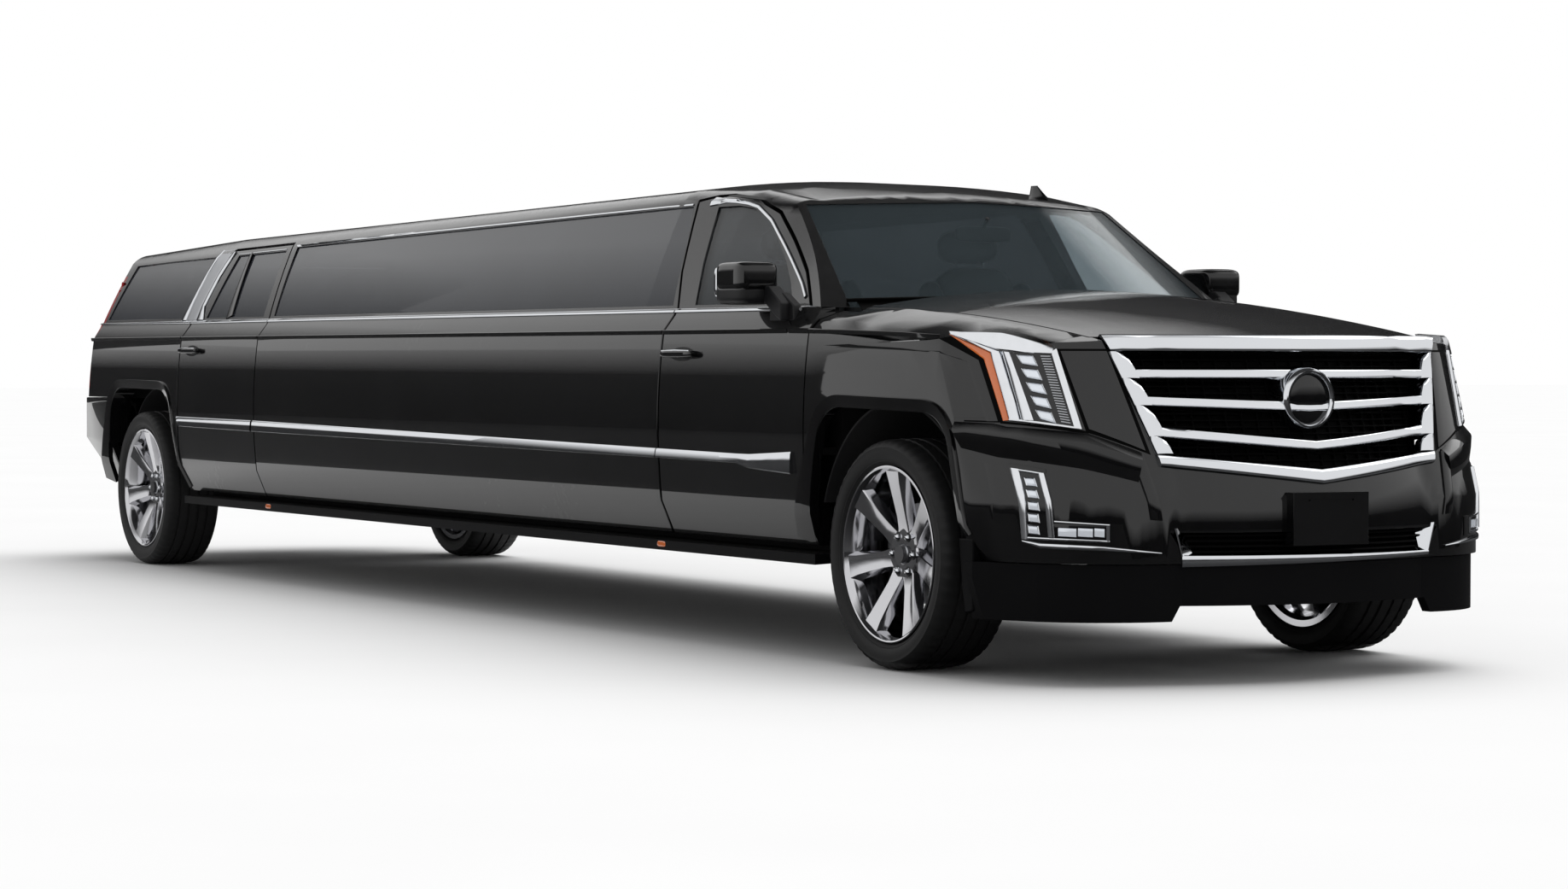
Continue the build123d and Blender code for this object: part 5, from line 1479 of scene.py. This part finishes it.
@dataclass(frozen=True)
class SideTrim:
    """Bright mouldings, pillar bands, window edges and handles of both sides.

    Attributes:
        belt: heights of the belt moulding's edges.
        belt_widen: how much wider its tail end is, below and above.
        front_end: station where the mouldings of the front door end.
        strip_high: upper edge of the lower strip.
        strip_low: its lower edge.
        door_gap: how far short of the front shut line it ends on the rear door.
        crease: heights of the crease under the shoulder.
        fender_crease: its lower edge on the fender.
        window: upper edge of the front door's glass.
        top_lines: bright lines over the long window and over the rear door's.
        pillar_front: front edge of the pillar band.
        pillar_rear: its rear edge.
        divider: bar in the rear door's glass.
        grips: station and height of the handles.
    """

    belt: Pair = (1234, 1250)
    strip_high: Line = ((-6931, 769), (-5850, 764), (-1675, 722), (-1030, 716), (-934, 716), (-624, 731))
    strip_low: Line = ((-6885, 721), (-5850, 712), (-1675, 687), (-1030, 682), (-934, 666), (-624, 653))
    window: Line = (
        (-1742, 1663), (-1640, 1662), (-1568, 1658), (-1480, 1648), (-1408, 1633), (-1284, 1579),
        (-1141, 1493), (-974, 1392), (-872, 1332), (-800, 1284))
    pillar_front: Line = ((-6894, 1252), (-6894, 1326), (-6870, 1480), (-6822, 1606))
    pillar_rear: Line = ((-7042, 1252), (-7044, 1355), (-7023, 1492), (-6988, 1604))
    divider: Line = ((-6449, 1262), (-6548, 1583))
    belt_widen: Pair = (5, 3)
    front_end: float = -700
    door_gap: float = 14
    crease: Pair = (1152, 1166)
    fender_crease: Line = ((-690, 1152), (-300, 1147), (100, 1137), (330, 1127))
    top_lines: tuple[Strip, ...] = (
        Strip(((-1866, 1652), (-5952, 1601)), ((-1864, 1659), (-5954, 1608)), 3.5, step=200),
        Strip(((-6078, 1587), (-6716, 1578)), ((-6079, 1592), (-6718, 1583)), 3, step=120),
    )
    grips: Line = ((-1490, 1078), (-6760, 1098))

    def span(self, panel: Panel) -> Pair:
        """Stations between which a panel's mouldings run, from the back."""
        _, back, front = panel.value
        return back, self.front_end if panel is Panel.FRONT_DOOR else front

    def mouldings(self) -> None:
        """The belt moulding and the lower strip, panel by panel."""
        for panel in Panel:
            tag = panel.name.lower()
            back, front = self.span(panel)
            down, up = self.belt_widen if panel is Panel.QUARTER else (0, 0)
            shape = Shape().band(
                SIDE, [(back, self.belt[0] + down), (front, self.belt[0])],
                [(back, self.belt[1] - up), (front, self.belt[1])], 5, step=160)
            sides(shape, "belt_moulding_" + tag, CHROME, panel.bodies(), slot="chrome")
            if panel is Panel.QUARTER:
                continue
            low, high = panel.span(self.strip_low), panel.span(self.strip_high)
            if panel is Panel.REAR_DOOR:
                for line in (low, high):
                    line[-1] = (line[-1][0] - self.door_gap, line[-1][1])
            stations = sorted({p[0] for p in low[1:-1] + high[1:-1]})
            low = [low[0], *((x, along(self.strip_low, x)) for x in stations), low[-1]]
            high = [high[0], *((x, along(self.strip_high, x)) for x in stations), high[-1]]
            shape = Shape().band(SIDE, low, high, 16, step=140, rim=CANTED)
            sides(shape, "side_strip_" + tag, CHROME, panel.bodies(), slot="chrome")

    def shoulders(self) -> None:
        """The crisp crease under the shoulder, panel by panel and on to the headlamp."""
        for panel in Panel:
            back, front = self.span(panel)
            low, high = [[(back + 2, z), (front - 2, z)] for z in self.crease]
            shape = Shape().band(SIDE, low, high, 6, step=160, rim=CREASE)
            sides(shape, "shoulder_crease_" + panel.name.lower(), PAINT, panel.bodies(), slot="black_paint")
        high = [(x, z + 15) for x, z in self.fender_crease]
        ahead = Shape().band(FLANK, self.fender_crease, high, 7, step=60, rim=CREASE)
        ahead.both().piece("shoulder_crease_fender", PAINT, slot="black_paint")

    def windows(self) -> None:
        """Bright window edges, pillar bands and the divider in the rear door's glass."""
        line = Shape().trim(SIDE, self.window, 7, 7, 5, step=40)
        sides(line, "window_line", CHROME, Panel.FRONT_DOOR.bodies(), slot="chrome")
        long_line, rear_line = [Shape().strips(SIDE, [strip]) for strip in self.top_lines]
        long_line.both().piece("long_window_line", CHROME, slot="chrome")
        sides(rear_line, "rear_window_line", CHROME, Panel.REAR_DOOR.bodies(), slot="chrome")
        band = Shape().band(SIDE, self.pillar_rear, self.pillar_front, 4, step=50, rim=FLAT)
        band.both().piece("pillar_band", SATIN, slot="chrome")
        edges = Shape().trim(SIDE, self.pillar_rear, 0, 26, 7, step=50)
        edges.trim(SIDE, self.pillar_front, 40, 0, 7, step=50)
        edges.both().piece("pillar_edges", CHROME, slot="chrome")
        bar = Shape().band(SIDE, offset(self.divider, -14), offset(self.divider, 14), 4, step=60)
        sides(bar, "rear_window_bar", GLOSS, Panel.REAR_DOOR.bodies(), slot="black_plastic")

    def handle(self, x: float, z: float) -> tuple[Shape, Shape, Shape]:
        """One pull handle: its cup, its grip and its bright upper edge.

        Args:
            x: station of the grip's middle.
            z: height of the grip's middle.

        Returns:
            Cup, grip and edge.
        """
        turns = [2 * math.pi * k / 32 for k in range(33)]
        inner, ring = [
            [(x + reach * math.cos(a), z + tall * math.sin(a)) for a in turns]
            for reach, tall in ((74, 16), (96, 27))]
        cup = Shape().band(SIDE, inner, ring, 1.4, rim=FLAT)
        y = -BODY.side_y(x, z)
        grip = Shape().pillow((x - 132, y - 34, z - 13), (x + 118, y - 12, z + 15), 3.4, 12)
        grip.pillow((x - 128, y - 26, z - 12), (x - 96, y + 4, z + 13), 4, 6)
        grip.pillow((x + 84, y - 26, z - 12), (x + 112, y + 4, z + 13), 4, 6)
        edge = Shape().tube(
            [(x - 118, y - 27, z + 12.5), (x, y - 31, z + 15), (x + 104, y - 27, z + 12.5)], 2.6, 8)
        return cup, grip, edge

    def handles(self) -> None:
        """The four door handles."""
        for panel, spot in zip((Panel.FRONT_DOOR, Panel.REAR_DOOR), self.grips):
            cup, grip, edge = self.handle(*spot)
            tag = panel.name.lower()
            sides(cup, "handle_cup_" + tag, PLASTIC, panel.bodies())
            sides(grip, "handle_" + tag, PAINT, panel.bodies(), slot="black_paint")
            sides(edge, "handle_edge_" + tag, CHROME, panel.bodies())

    def build(self) -> None:
        """Make the trim of both sides."""
        self.mouldings()
        self.shoulders()
        self.windows()
        self.handles()


@dataclass(frozen=True)
class Mirrors:
    """Door mirrors: squared shell, lower cap, glass and a stout arm.

    Attributes:
        low: lowest corner of the right-hand mirror.
        high: its highest corner.
        arm: outline of the arm in station and height.
        sail: outline of the foot on the door.
    """

    low: Triple = (-1090, -1106, 1256)
    high: Triple = (-848, -945, 1412)
    arm: Line = (
        (-1010, 1276), (-880, 1276), (-770, 1210), (-735, 1196), (-735, 1262), (-830, 1322), (-1000, 1330))
    sail: Line = ((-880, 1184), (-700, 1184), (-706, 1254), (-790, 1300), (-880, 1268))

    def build(self) -> None:
        """Make both mirrors."""
        (x0, y0, z0), (x1, y1, z1) = self.low, self.high
        bodies = Panel.FRONT_DOOR.bodies()
        shell = Shape().pillow((x0 + 20, y0, z0 + 42), (x1, y1, z1), 5.5, 16)
        for piece in sides(shell, "mirror_shell", PAINT, bodies, slot="black_paint"):
            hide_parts("mirror_" + piece.name.rsplit("_", 1)[1])
        base = Shape().pillow((x0 + 10, y0 + 5, z0), (x1 - 6, y1 - 2, z0 + 78), 5, 14)
        base.prism(self.arm, -1010, -956).prism(self.sail, -975, -940)
        sides(base, "mirror_base", PLASTIC, bodies, bevel=6)
        glass = Shape().pillow((x0, y0 + 14, z0 + 26), (x0 + 24, y1 - 12, z1 - 16), 7, 10)
        sides(glass, "mirror_glass", CHROME, bodies)


@dataclass(frozen=True)
class RunningBoards:
    """Treads, skirts and amber markers of the running boards."""

    tread_span: Pair = (822, 976)
    treads: int = 7
    length: Pair = (-6870, -520)
    markers: tuple[float, ...] = (-1680, -5750)

    def build(self) -> None:
        """Make the details of both boards."""
        ribs = Shape()
        back, front = self.length
        for k in range(self.treads):
            y = mix(*self.tread_span, k / (self.treads - 1))
            ribs.box((back, -y - 5, 371), (front, -y + 5, 375))
        Shape().box((-6880, -852, 366), (-562, -842, 410)).both().piece("sill_skirts", VALANCE, bevel=2)
        ribs.both().piece("board_treads", RUBBER, bevel=1)
        lamps = Shape()
        for x in self.markers:
            lamps.pillow((x - 38, -1001.5, 346), (x + 38, -988, 370), 4, 8)
        lamps.both().piece("board_markers", AMBER, slot="tail_lens")


@dataclass(frozen=True)
class RoofItems:
    """Aerial fin on the roof."""

    spot: Pair = (-1320, 470)
    tall: float = 56
    lean: float = -34

    def build(self) -> None:
        """Make the fin."""
        x, y = self.spot
        z = BODY.roof_z(x, y) - 6
        rows = []
        for k in range(9):
            t = k / 8
            length, half, lean = mix(74, 22, t ** 0.8), mix(26, 5, t ** 0.5), self.lean * t
            ring = [(math.cos(a), math.sin(a)) for a in (2 * math.pi * i / 20 for i in range(20))]
            rows.append(
                [
                    Vector((x + lean + length * c, y + half * s * (1 - 0.35 * c), z + self.tall * t))
                    for c, s in ring])
        Shape().rows(rows, around=True, caps=True).piece("aerial_fin", PAINT, slot="black_paint")


# ---------- cabin
@dataclass(frozen=True)
class FrontSeats:
    """Two front seats: base, cushion, back with bolsters and head rest."""

    places: Pair = (-400, 400)

    def seat(self, y: float) -> dict[str, Shape]:
        """The shapes of one seat, by kind."""
        lean = Matrix.Translation((-1560, y, 880)) @ Matrix.Rotation(math.radians(-15.5), 4, "Y")
        cushion = Shape().pillow((-1570, y - 190, 752), (-1052, y + 190, 888), 4, 14, 6)
        for s in (-1, 1):
            cushion.pillow((-1570, y + s * 218 - 42, 760), (-1070, y + s * 218 + 42, 902), 3.2, 12)
        back = Shape().pillow((-66, -180, -20), (62, 180, 560), 4.5, 14)
        for s in (-1, 1):
            back.pillow((-66, s * 212 - 42, 0), (84, s * 212 + 42, 500), 3.2, 12)
        head = Shape().pillow((-52, -128, 586), (52, 128, 716), 3.2, 12)
        posts = Shape().tube([(0, -60, 540), (0, -60, 620)], 7).tube([(0, 60, 540), (0, 60, 620)], 7)
        base = Shape().box((-1540, y - 230, 592), (-1100, y + 230, 750))
        return {
            "base": base, "cushion": cushion, "back": back.moved(lean), "headrest": head.moved(lean),
            "posts": posts.moved(lean)}

    def build(self) -> None:
        """Make both seats."""
        looks = {"base": PLASTIC, "cushion": LEATHER, "back": LEATHER, "headrest": LEATHER, "posts": CHROME}
        for y, side in zip(self.places, ("right", "left")):
            for kind, shape in self.seat(y).items():
                piece = shape.piece(
                    f"front_seat_{kind}_{side}", looks[kind], bevel=2 if kind == "base" else 0,
                    slot="seat_leather")
                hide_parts("front_seats")


@dataclass(frozen=True)
class Lounge:
    """The long side bench, the rear bench and the bar opposite.

    Attributes:
        start: station of the side bench's front end.
        end: station of its rear end.
        units: number of its cushions.
        glass_profile: radius and height along a glass.
    """

    start: float = -2150
    end: float = -6350
    units: int = 7
    doors: int = 8
    door_pitch: float = 405
    glasses: int = 10
    glass_pitch: float = 300
    glass_profile: Line = ((26, 1), (28, 3), (3, 8), (3, 60), (24, 84), (30, 118), (28, 118), (22, 88))

    def build(self) -> None:
        """Make the lounge."""
        pads, backs, plinth = Shape(), Shape(), Shape()
        pitch = (self.end - self.start) / self.units
        for k in range(self.units):
            a, b = self.start + pitch * (k + 1) + 6, self.start + pitch * k - 6
            pads.pillow((a, 306, 760), (b, 640, 900), 5, 12, 8)
            backs.pillow((a, 640, 880), (b, 796, 1232), 5, 12)
        for k in range(3):
            y = -795 + 530 * k
            pads.pillow((-6795, y + 6, 760), (-6356, y + 522, 900), 5, 12, 8)
            backs.pillow((-6948, y + 6, 890), (-6798, y + 522, 1328), 5, 12)
        plinth.box((self.end, 330, 592), (self.start, 790, 768)).box((-6940, -790, 592), (-6380, 790, 768))
        for name, shape, look in (
                ("lounge_cushions", pads, LEATHER), ("lounge_backs", backs, LEATHER),
                ("lounge_plinth", plinth, CABINET)):
            piece = shape.piece(name, look, bevel=3 if look is CABINET else 0, slot="seat_leather")
            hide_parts("lounge_seat")
        doors, pulls = Shape(), Shape()
        for k in range(self.doors):
            x = -5590 + self.door_pitch * k
            doors.box((x + 10, -524, 640), (x + 395, -512, 1030))
            pulls.tube([(x + 340, -500, 800), (x + 340, -500, 900)], 5)
        doors.piece("bar_doors", CABINET, bevel=3)
        pulls.piece("bar_pulls", CHROME)
        glasses = Shape()
        for k in range(self.glasses):
            glasses.lathe(self.glass_profile, (-5300 + self.glass_pitch * k, -700, 1085), (0, 0, 1), 20)
        glasses.piece("bar_glasses", LENS, slot="clear_glass")


@dataclass(frozen=True)
class Cockpit:
    """Instruments, vents, centre screen, inside mirror, console and pedals."""

    vents: tuple[float, ...] = (-760, -150, 180, 700)
    louvres: int = 5

    def build(self) -> None:
        """Make the dashboard's details."""
        hood = Shape().pillow((-900, 225, 1140), (-730, 575, 1216), 3, 12)
        hood.pillow((-948, -60, 900), (-860, 150, 1130), 5, 10)
        hood.piece("dash_hoods", PLASTIC)
        screens = Shape().box((-958, -40, 960), (-944, 130, 1100)).box((-906, 260, 1120), (-892, 540, 1180))
        screens.piece("dash_screens", DISPLAY, bevel=2)
        vents = Shape()
        for y in self.vents:
            for k in range(self.louvres):
                vents.box((-946, y - 55, 1082 + 12 * k), (-926, y + 55, 1087 + 12 * k))
        vents.piece("dash_vents", SATIN, bevel=1)
        mirror = Shape().pillow((-1000, -120, 1500), (-972, 120, 1560), 5, 10)
        mirror.tube([(-985, 0, 1550), (-950, 0, 1590)], 8)
        mirror.piece("inside_mirror", PLASTIC)
        lever = Shape().box((-1500, -90, 592), (-950, 90, 860)).tube(
            [(-1120, 30, 850), (-1130, 30, 930)], [10, 18])
        lever.piece("centre_console", PLASTIC, bevel=8)
        pedals = Shape().box((-760, 300, 640), (-745, 360, 720)).box((-760, 420, 650), (-745, 500, 710))
        pedals.piece("pedals", RUBBER, bevel=3)


# ---------- rear
@dataclass(frozen=True)
class Rear:
    """Tailgate bar, recess, wiper and glass edge, pads on the step, and panels that close the rear arches.

    Attributes:
        wiper: half width, height and lift along the wiper's arm.
        glass: outline of the glass.
        pads: number of pads on the step.
    """

    bar: Strip = Strip(((-560, 1188), (560, 1188)), ((-560, 1222), (560, 1222)), 7, step=60)
    recess: Strip = Strip(((-210, 1010), (210, 1010)), ((-210, 1120), (210, 1120)), 3, step=60)
    wiper: tuple[Triple, ...] = ((20, 1292, 12), (-160, 1306, 16), (-420, 1312, 10))
    glass: Line = ((-690, 1290), (-625, 1512), (625, 1512), (690, 1290), (-690, 1290))
    pads: int = 12
    pad_pitch: float = 108

    def build(self) -> None:
        """Make the tail's details."""
        Shape().strips(TAIL, [self.bar]).piece("tailgate_bar", CHROME, "tailgate", slot="chrome")
        Shape().strips(TAIL, [self.recess]).piece("tailgate_recess", PLASTIC, "tailgate")
        arm = Shape().tube([TAIL.point(*row) for row in self.wiper], [13, 7, 5], 8)
        arm.piece("rear_wiper", PLASTIC, "tailgate")
        edge = Shape().trim(TAIL, self.glass, 6, 4, 3, step=60)
        edge.piece("tailgate_glass_edge", RUBBER, "tailgate")
        pads = Shape()
        for k in range(self.pads):
            y = -630 + k * self.pad_pitch
            pads.box((-8640, y, 848.5), (-8560, y + 84, 849.8))
        pads.piece("step_pads", RUBBER)
        Shape().box((-7990, -950, 850), (-7984, -700, 1000)).both().piece("arch_closers", UNDERBODY, bevel=1)


# ---------- frame parts
def crease_group() -> bpy.types.NodeTree:
    """Node group that joins split edges and smooths the shading across shallow creases."""
    found = bpy.data.node_groups.get("smooth_creases")
    if found:
        return found
    made = bpy.data.node_groups.new("smooth_creases", "GeometryNodeTree")
    for way in ("INPUT", "OUTPUT"):
        made.interface.new_socket("Geometry", in_out=way, socket_type="NodeSocketGeometry")
    start, end = made.nodes.new("NodeGroupInput"), made.nodes.new("NodeGroupOutput")
    drop = made.nodes.new("GeometryNodeRemoveAttribute")
    drop.inputs["Name"].default_value = "custom_normal"
    join = made.nodes.new("GeometryNodeMergeByDistance")
    join.inputs["Distance"].default_value = SPLIT_EDGE
    faces, edges = made.nodes.new("GeometryNodeSetShadeSmooth"), made.nodes.new("GeometryNodeSetShadeSmooth")
    edges.domain = "EDGE"
    angle, shallow = made.nodes.new("GeometryNodeInputMeshEdgeAngle"), made.nodes.new("FunctionNodeCompare")
    shallow.operation = "LESS_THAN"
    shallow.inputs["B"].default_value = math.radians(SHALLOW_CREASE)
    link = made.links.new
    link(start.outputs[0], drop.inputs["Geometry"])
    link(drop.outputs["Geometry"], join.inputs["Geometry"])
    link(join.outputs["Geometry"], faces.inputs["Geometry"])
    link(faces.outputs["Geometry"], edges.inputs["Geometry"])
    link(angle.outputs["Unsigned Angle"], shallow.inputs["A"])
    link(shallow.outputs["Result"], edges.inputs["Shade Smooth"])
    link(edges.outputs["Geometry"], end.inputs[0])
    return made


def soften_creases(node: bpy.types.Object) -> None:
    """Shade a CAD node smoothly across its shallow creases, its points as they are."""
    smooth = node.modifiers.new("creases", "NODES")
    smooth.node_group = crease_group()
    weigh = node.modifiers.new("weigh", "WEIGHTED_NORMAL")
    weigh.keep_sharp = True


@dataclass(frozen=True)
class Dressing:
    """Finish and edge rounding of every CAD node that is shown as it is.

    Attributes:
        table: finish, record slot, and the nodes' names or their beginnings with their edge widths.
    """

    table: tuple[tuple[Look, str, dict[str, float]], ...] = (
        (CAB_GLASS, "dark_glass", {"front_door_glass": 0}),
        (DARK_GLASS, "dark_glass", {"rear_door_glass": 0, "side_windows": 0, "tailgate_glass": 0}),
        (SCREEN_GLASS, "clear_glass", {"windshield": 0}),
        (LENS, "lamp_lens", {"headlamps": 0, "corner_lamps": 0}),
        (RED_LENS, "tail_lens", {"tail_lamps": 0}),
        (RUBBER, "black_plastic", {"grille_backing": 0}),
        (CHROME, "chrome", {"grille": 2}),
        (
            PAINT, "black_paint",
            {
                "front_door": 3, "rear_door": 3, "side_panels": 3, "quarter_panels": 3, "cab_frame": 2,
                "roof_panel": 2, "fenders": 3, "hood": 4, "front_bumper": 3, "rear_bumper": 4, "tailgate": 3,
                "mirror": 3}),
        (VALANCE, "valance_plastic", {"front_valance": 5}),
        (VALANCE, "black_plastic", {"running_boards": 6}),
        (UNDERBODY, "underbody", {"wheel_liners": 2, "floor_pan": 3, "cowl_firewall": 3, "fuel_tank": 12}),
        (
            STEEL, "frame_steel",
            {"chassis_frame": 4, "front_suspension": 3, "rear_axle": 5, "tow_receiver": 4}),
        (CAST, "frame_steel", {"knuckle": 3}),
        (CAST, "cast_block", {"engine_block": 8}),
        (EXHAUST, "exhaust_steel", {"exhaust_system": 3}),
        (PLASTIC, "black_plastic", {"dashboard": 6}),
        (CABINET, "cabinet", {"partition": 4, "bar_cabinet": 4}),
        (RIM, "rim_chrome", {"rim_": 1}),
        (TYRE, "tyre", {"tyre_": 1}),
        (LEATHER, "seat_leather", {"steering_wheel": 2, "front_seats": 10, "lounge_seat": 10}),
    )

    def build(self, nodes: dict[str, bpy.types.Object]) -> None:
        """Finish the CAD nodes.

        Args:
            nodes: the frame's nodes by name.
        """
        for name, node in nodes.items():
            found = next(
                (
                    (look, slot, bevel) for look, slot, widths in self.table
                    for start, bevel in widths.items() if name.startswith(start)),
                None)
            if found is None:
                LOG.warning("no finish for %s", name)
                continue
            look, slot, bevel = found
            node.data.materials.clear()
            node.data.materials.append(look.material())
            if look is PAINT:
                soften_creases(node)
            if bevel:
                round_edges(node, bevel, CAD_SHARP, False)


# ---------- stage
@dataclass(frozen=True)
class Stage:
    """Camera, pale floor, soft overhead lamp, sky and dark cards that only reflections see.

    Attributes:
        focal: focal length in pixels of the full frame.
        centre: pixel on the camera's axis.
        yaw: heading of the camera in radians.
        pitch: its tilt.
        roll: its roll.
        eye: its place.
        sensor: width of its sensor in millimetres.
        sky: light of the world on surfaces that scatter.
        lamp: light of the overhead lamp.
        spread: its width in the sky in degrees.
        source: direction that it comes from.
        card_places: name, outline, height and fade of each card.
        card_dark: darkest and lightest colour of a card.
        overhead: distances from its middle between which the card overhead thins out.
        overhead_spot: its place.
    """

    focal: float = 4369.1
    centre: Pair = (897.05, 521.63)
    yaw: float = 0.50517
    pitch: float = -0.02267
    roll: float = 0.00177
    eye: Triple = (10907, -7508, 1053.3)
    sensor: float = 36
    sky: float = 0.42
    lamp: float = 0.68
    spread: float = 70
    source: Triple = (-0.15, 0.5, 1)
    card_places: tuple[tuple[str, tuple[Pair, ...], float, Pair], ...] = (
        (
            "card_floor",
            ((-40, -2.3), (3, -2.3), (3, 2.3), (-40, 2.3), (-40, 18), (30, 18), (30, -18), (-40, -18)), 0,
            (1, 2)),
        ("card_side", ((-44, -14), (-21, -15.3)), 4.8, (2.9, 4.8)),
        ("card_low", ((-21, -15.3), (0, -15.5), (12, -14)), 1, (0.3, 1)),
        ("card_front", ((12, -14), (24, -6), (26, 4), (22, 16), (2, 16)), 4, (1.6, 4)),
        ("card_high", ((2, 16), (-44, 16), (-44, -14)), 16.5, (10.5, 16.5)),
    )
    card_dark: tuple[tuple[float, ...], ...] = ((0.012, 0.012, 0.013), (0.02, 0.02, 0.021))
    overhead: Pair = (8, 13)
    overhead_spot: Triple = (-1, 2, 11)

    def camera(self) -> None:
        """The camera."""
        ahead = Vector(
            (
                -math.cos(self.yaw) * math.cos(self.pitch), math.sin(self.yaw) * math.cos(self.pitch),
                math.sin(self.pitch)))
        right = ahead.cross(Vector((0, 0, 1))).normalized()
        up = right.cross(ahead)
        c, s = math.cos(self.roll), math.sin(self.roll)
        across, above = right * c + up * s, up * c - right * s
        matrix = Matrix((across, above, -ahead)).transposed().to_4x4()
        matrix.translation = place(*self.eye)
        camera = bpy.data.objects.new("camera", bpy.data.cameras.new("camera"))
        bpy.context.scene.collection.objects.link(camera)
        camera.matrix_world = matrix
        lens = camera.data
        lens.sensor_width = self.sensor
        lens.lens = self.sensor * self.focal / FRAME_WIDTH
        lens.shift_x = (FRAME_WIDTH / 2 - self.centre[0]) / FRAME_WIDTH
        lens.shift_y = (self.centre[1] - FRAME_HEIGHT / 2) / FRAME_WIDTH
        lens.clip_end = 400
        bpy.context.scene.camera = camera

    def floor(self) -> None:
        """A large white floor that keeps the shadow."""
        bpy.ops.mesh.primitive_plane_add(size=240, location=(0, 0, 0))
        plane = bpy.context.object
        plane.name = "floor"
        made, g, bsdf = new_look("floor_white")
        tone = g.blend(g.noise(0.6, 3).ramp(*MIDDLE), (0.95, 0.95, 0.95), (0.97, 0.97, 0.97))
        g.fill(bsdf, Base_Color=tone, Roughness=0.9, Specular_IOR_Level=0)
        plane.data.materials.append(made)
        plane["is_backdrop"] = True

    def world(self) -> None:
        """White behind the car and in its reflections, with a softer light on it."""
        world = bpy.data.worlds.new("studio")
        bpy.context.scene.world = world
        world.use_nodes = True
        g = Graph(world.node_tree)
        path = world.node_tree.nodes.new("ShaderNodeLightPath")
        camera, glossy, through = [
            Value(g, path.outputs[f"Is {kind} Ray"]) for kind in ("Camera", "Glossy", "Transmission")]
        seen = camera.highest(glossy).highest(through)
        g.fill(world.node_tree.nodes["Background"], Color=g.blend(seen, (self.sky,) * 3, WHITE), Strength=1)

    def lamps(self) -> None:
        """One very broad lamp high behind the car, which drops a soft shadow in front of it."""
        light = bpy.data.lights.new("overhead", "SUN")
        light.energy = self.lamp * math.pi
        light.angle = math.radians(self.spread)
        lamp = bpy.data.objects.new("overhead", light)
        bpy.context.scene.collection.objects.link(lamp)
        lamp.location = (0, 0, 12)
        lamp.rotation_euler = Vector(self.source).to_track_quat("Z", "Y").to_euler()

    def card_look(self, name: str, fade: Pair, round_card: bool) -> bpy.types.Material:
        """A dark material that thins out between two heights, or two distances from its middle."""
        made, g, bsdf = new_look(name)
        far = g.node(
            "VectorMath", {"operation": "LENGTH"}, "Value", Vector=g.where()) if round_card else g.height()
        g.fill(
            bsdf, Base_Color=g.blend(g.noise(0.4, 2), *self.card_dark), Roughness=0.9,
            Alpha=1 - far.ramp(*fade))
        return made

    def card(
            self, name: str, mesh: bpy.types.Mesh, look: bpy.types.Material, spot: Triple = (0, 0, 0)
    ) -> None:
        """One card that only reflections see."""
        card = bpy.data.objects.new(name, mesh)
        card.location = spot
        bpy.context.scene.collection.objects.link(card)
        mesh.materials.append(look)
        card.visible_camera = card.visible_diffuse = card.visible_shadow = card.visible_transmission = False
        card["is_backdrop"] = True

    def cards(self) -> None:
        """Dark cards: on the floor round the car, upright beyond it and one overhead."""
        for name, path, top, fade in self.card_places:
            mesh = bpy.data.meshes.new(name)
            points = [(x, y, 0.03) for x, y in path] + [(x, y, top) for x, y in path]
            n = len(path)
            faces = [(k, k + 1, n + k + 1, n + k) for k in range(n - 1)] if top else [tuple(range(n))]
            mesh.from_pydata(points[:n * 2 if top else n], [], faces)
            self.card(name, mesh, self.card_look(name, fade, False))
        mesh = bpy.data.meshes.new("card_overhead")
        r = self.overhead[1]
        mesh.from_pydata([(-r, -r, 0), (r, -r, 0), (r, r, 0), (-r, r, 0)], [], [(0, 1, 2, 3)])
        self.card(
            "card_overhead", mesh, self.card_look("card_overhead", self.overhead, True), self.overhead_spot)

    def build(self) -> None:
        """Set the stage."""
        scene = bpy.context.scene
        scene.view_settings.view_transform = "Standard"
        self.camera()
        self.floor()
        self.world()
        self.lamps()
        self.cards()


def corners() -> list[list[float]]:
    """Lowest and highest corner of what is shown, in metres."""
    return [[round(c, 5) for c in corner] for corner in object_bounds()]


def main() -> None:
    """Build the scene in order."""
    logging.basicConfig(level=logging.INFO, format="%(message)s")
    for thing in list(bpy.data.objects):
        bpy.data.objects.remove(thing)
    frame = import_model()
    Dressing().build(frame["nodes"])
    for end in ("front", "rear"):
        for side in ("right", "left"):
            Wheel(end, side).build()
    for part in (
            Headlamps(), CornerLamps(), TailLamps(), Grille(), FrontBumper(), Wipers(), SideTrim(), Mirrors(),
            RunningBoards(), RoofItems(), FrontSeats(), Lounge(), Cockpit(), Rear()):
        part.build()
        LOG.info("built %s", type(part).__name__)
    Stage().build()


if __name__ == "__main__":
    main()
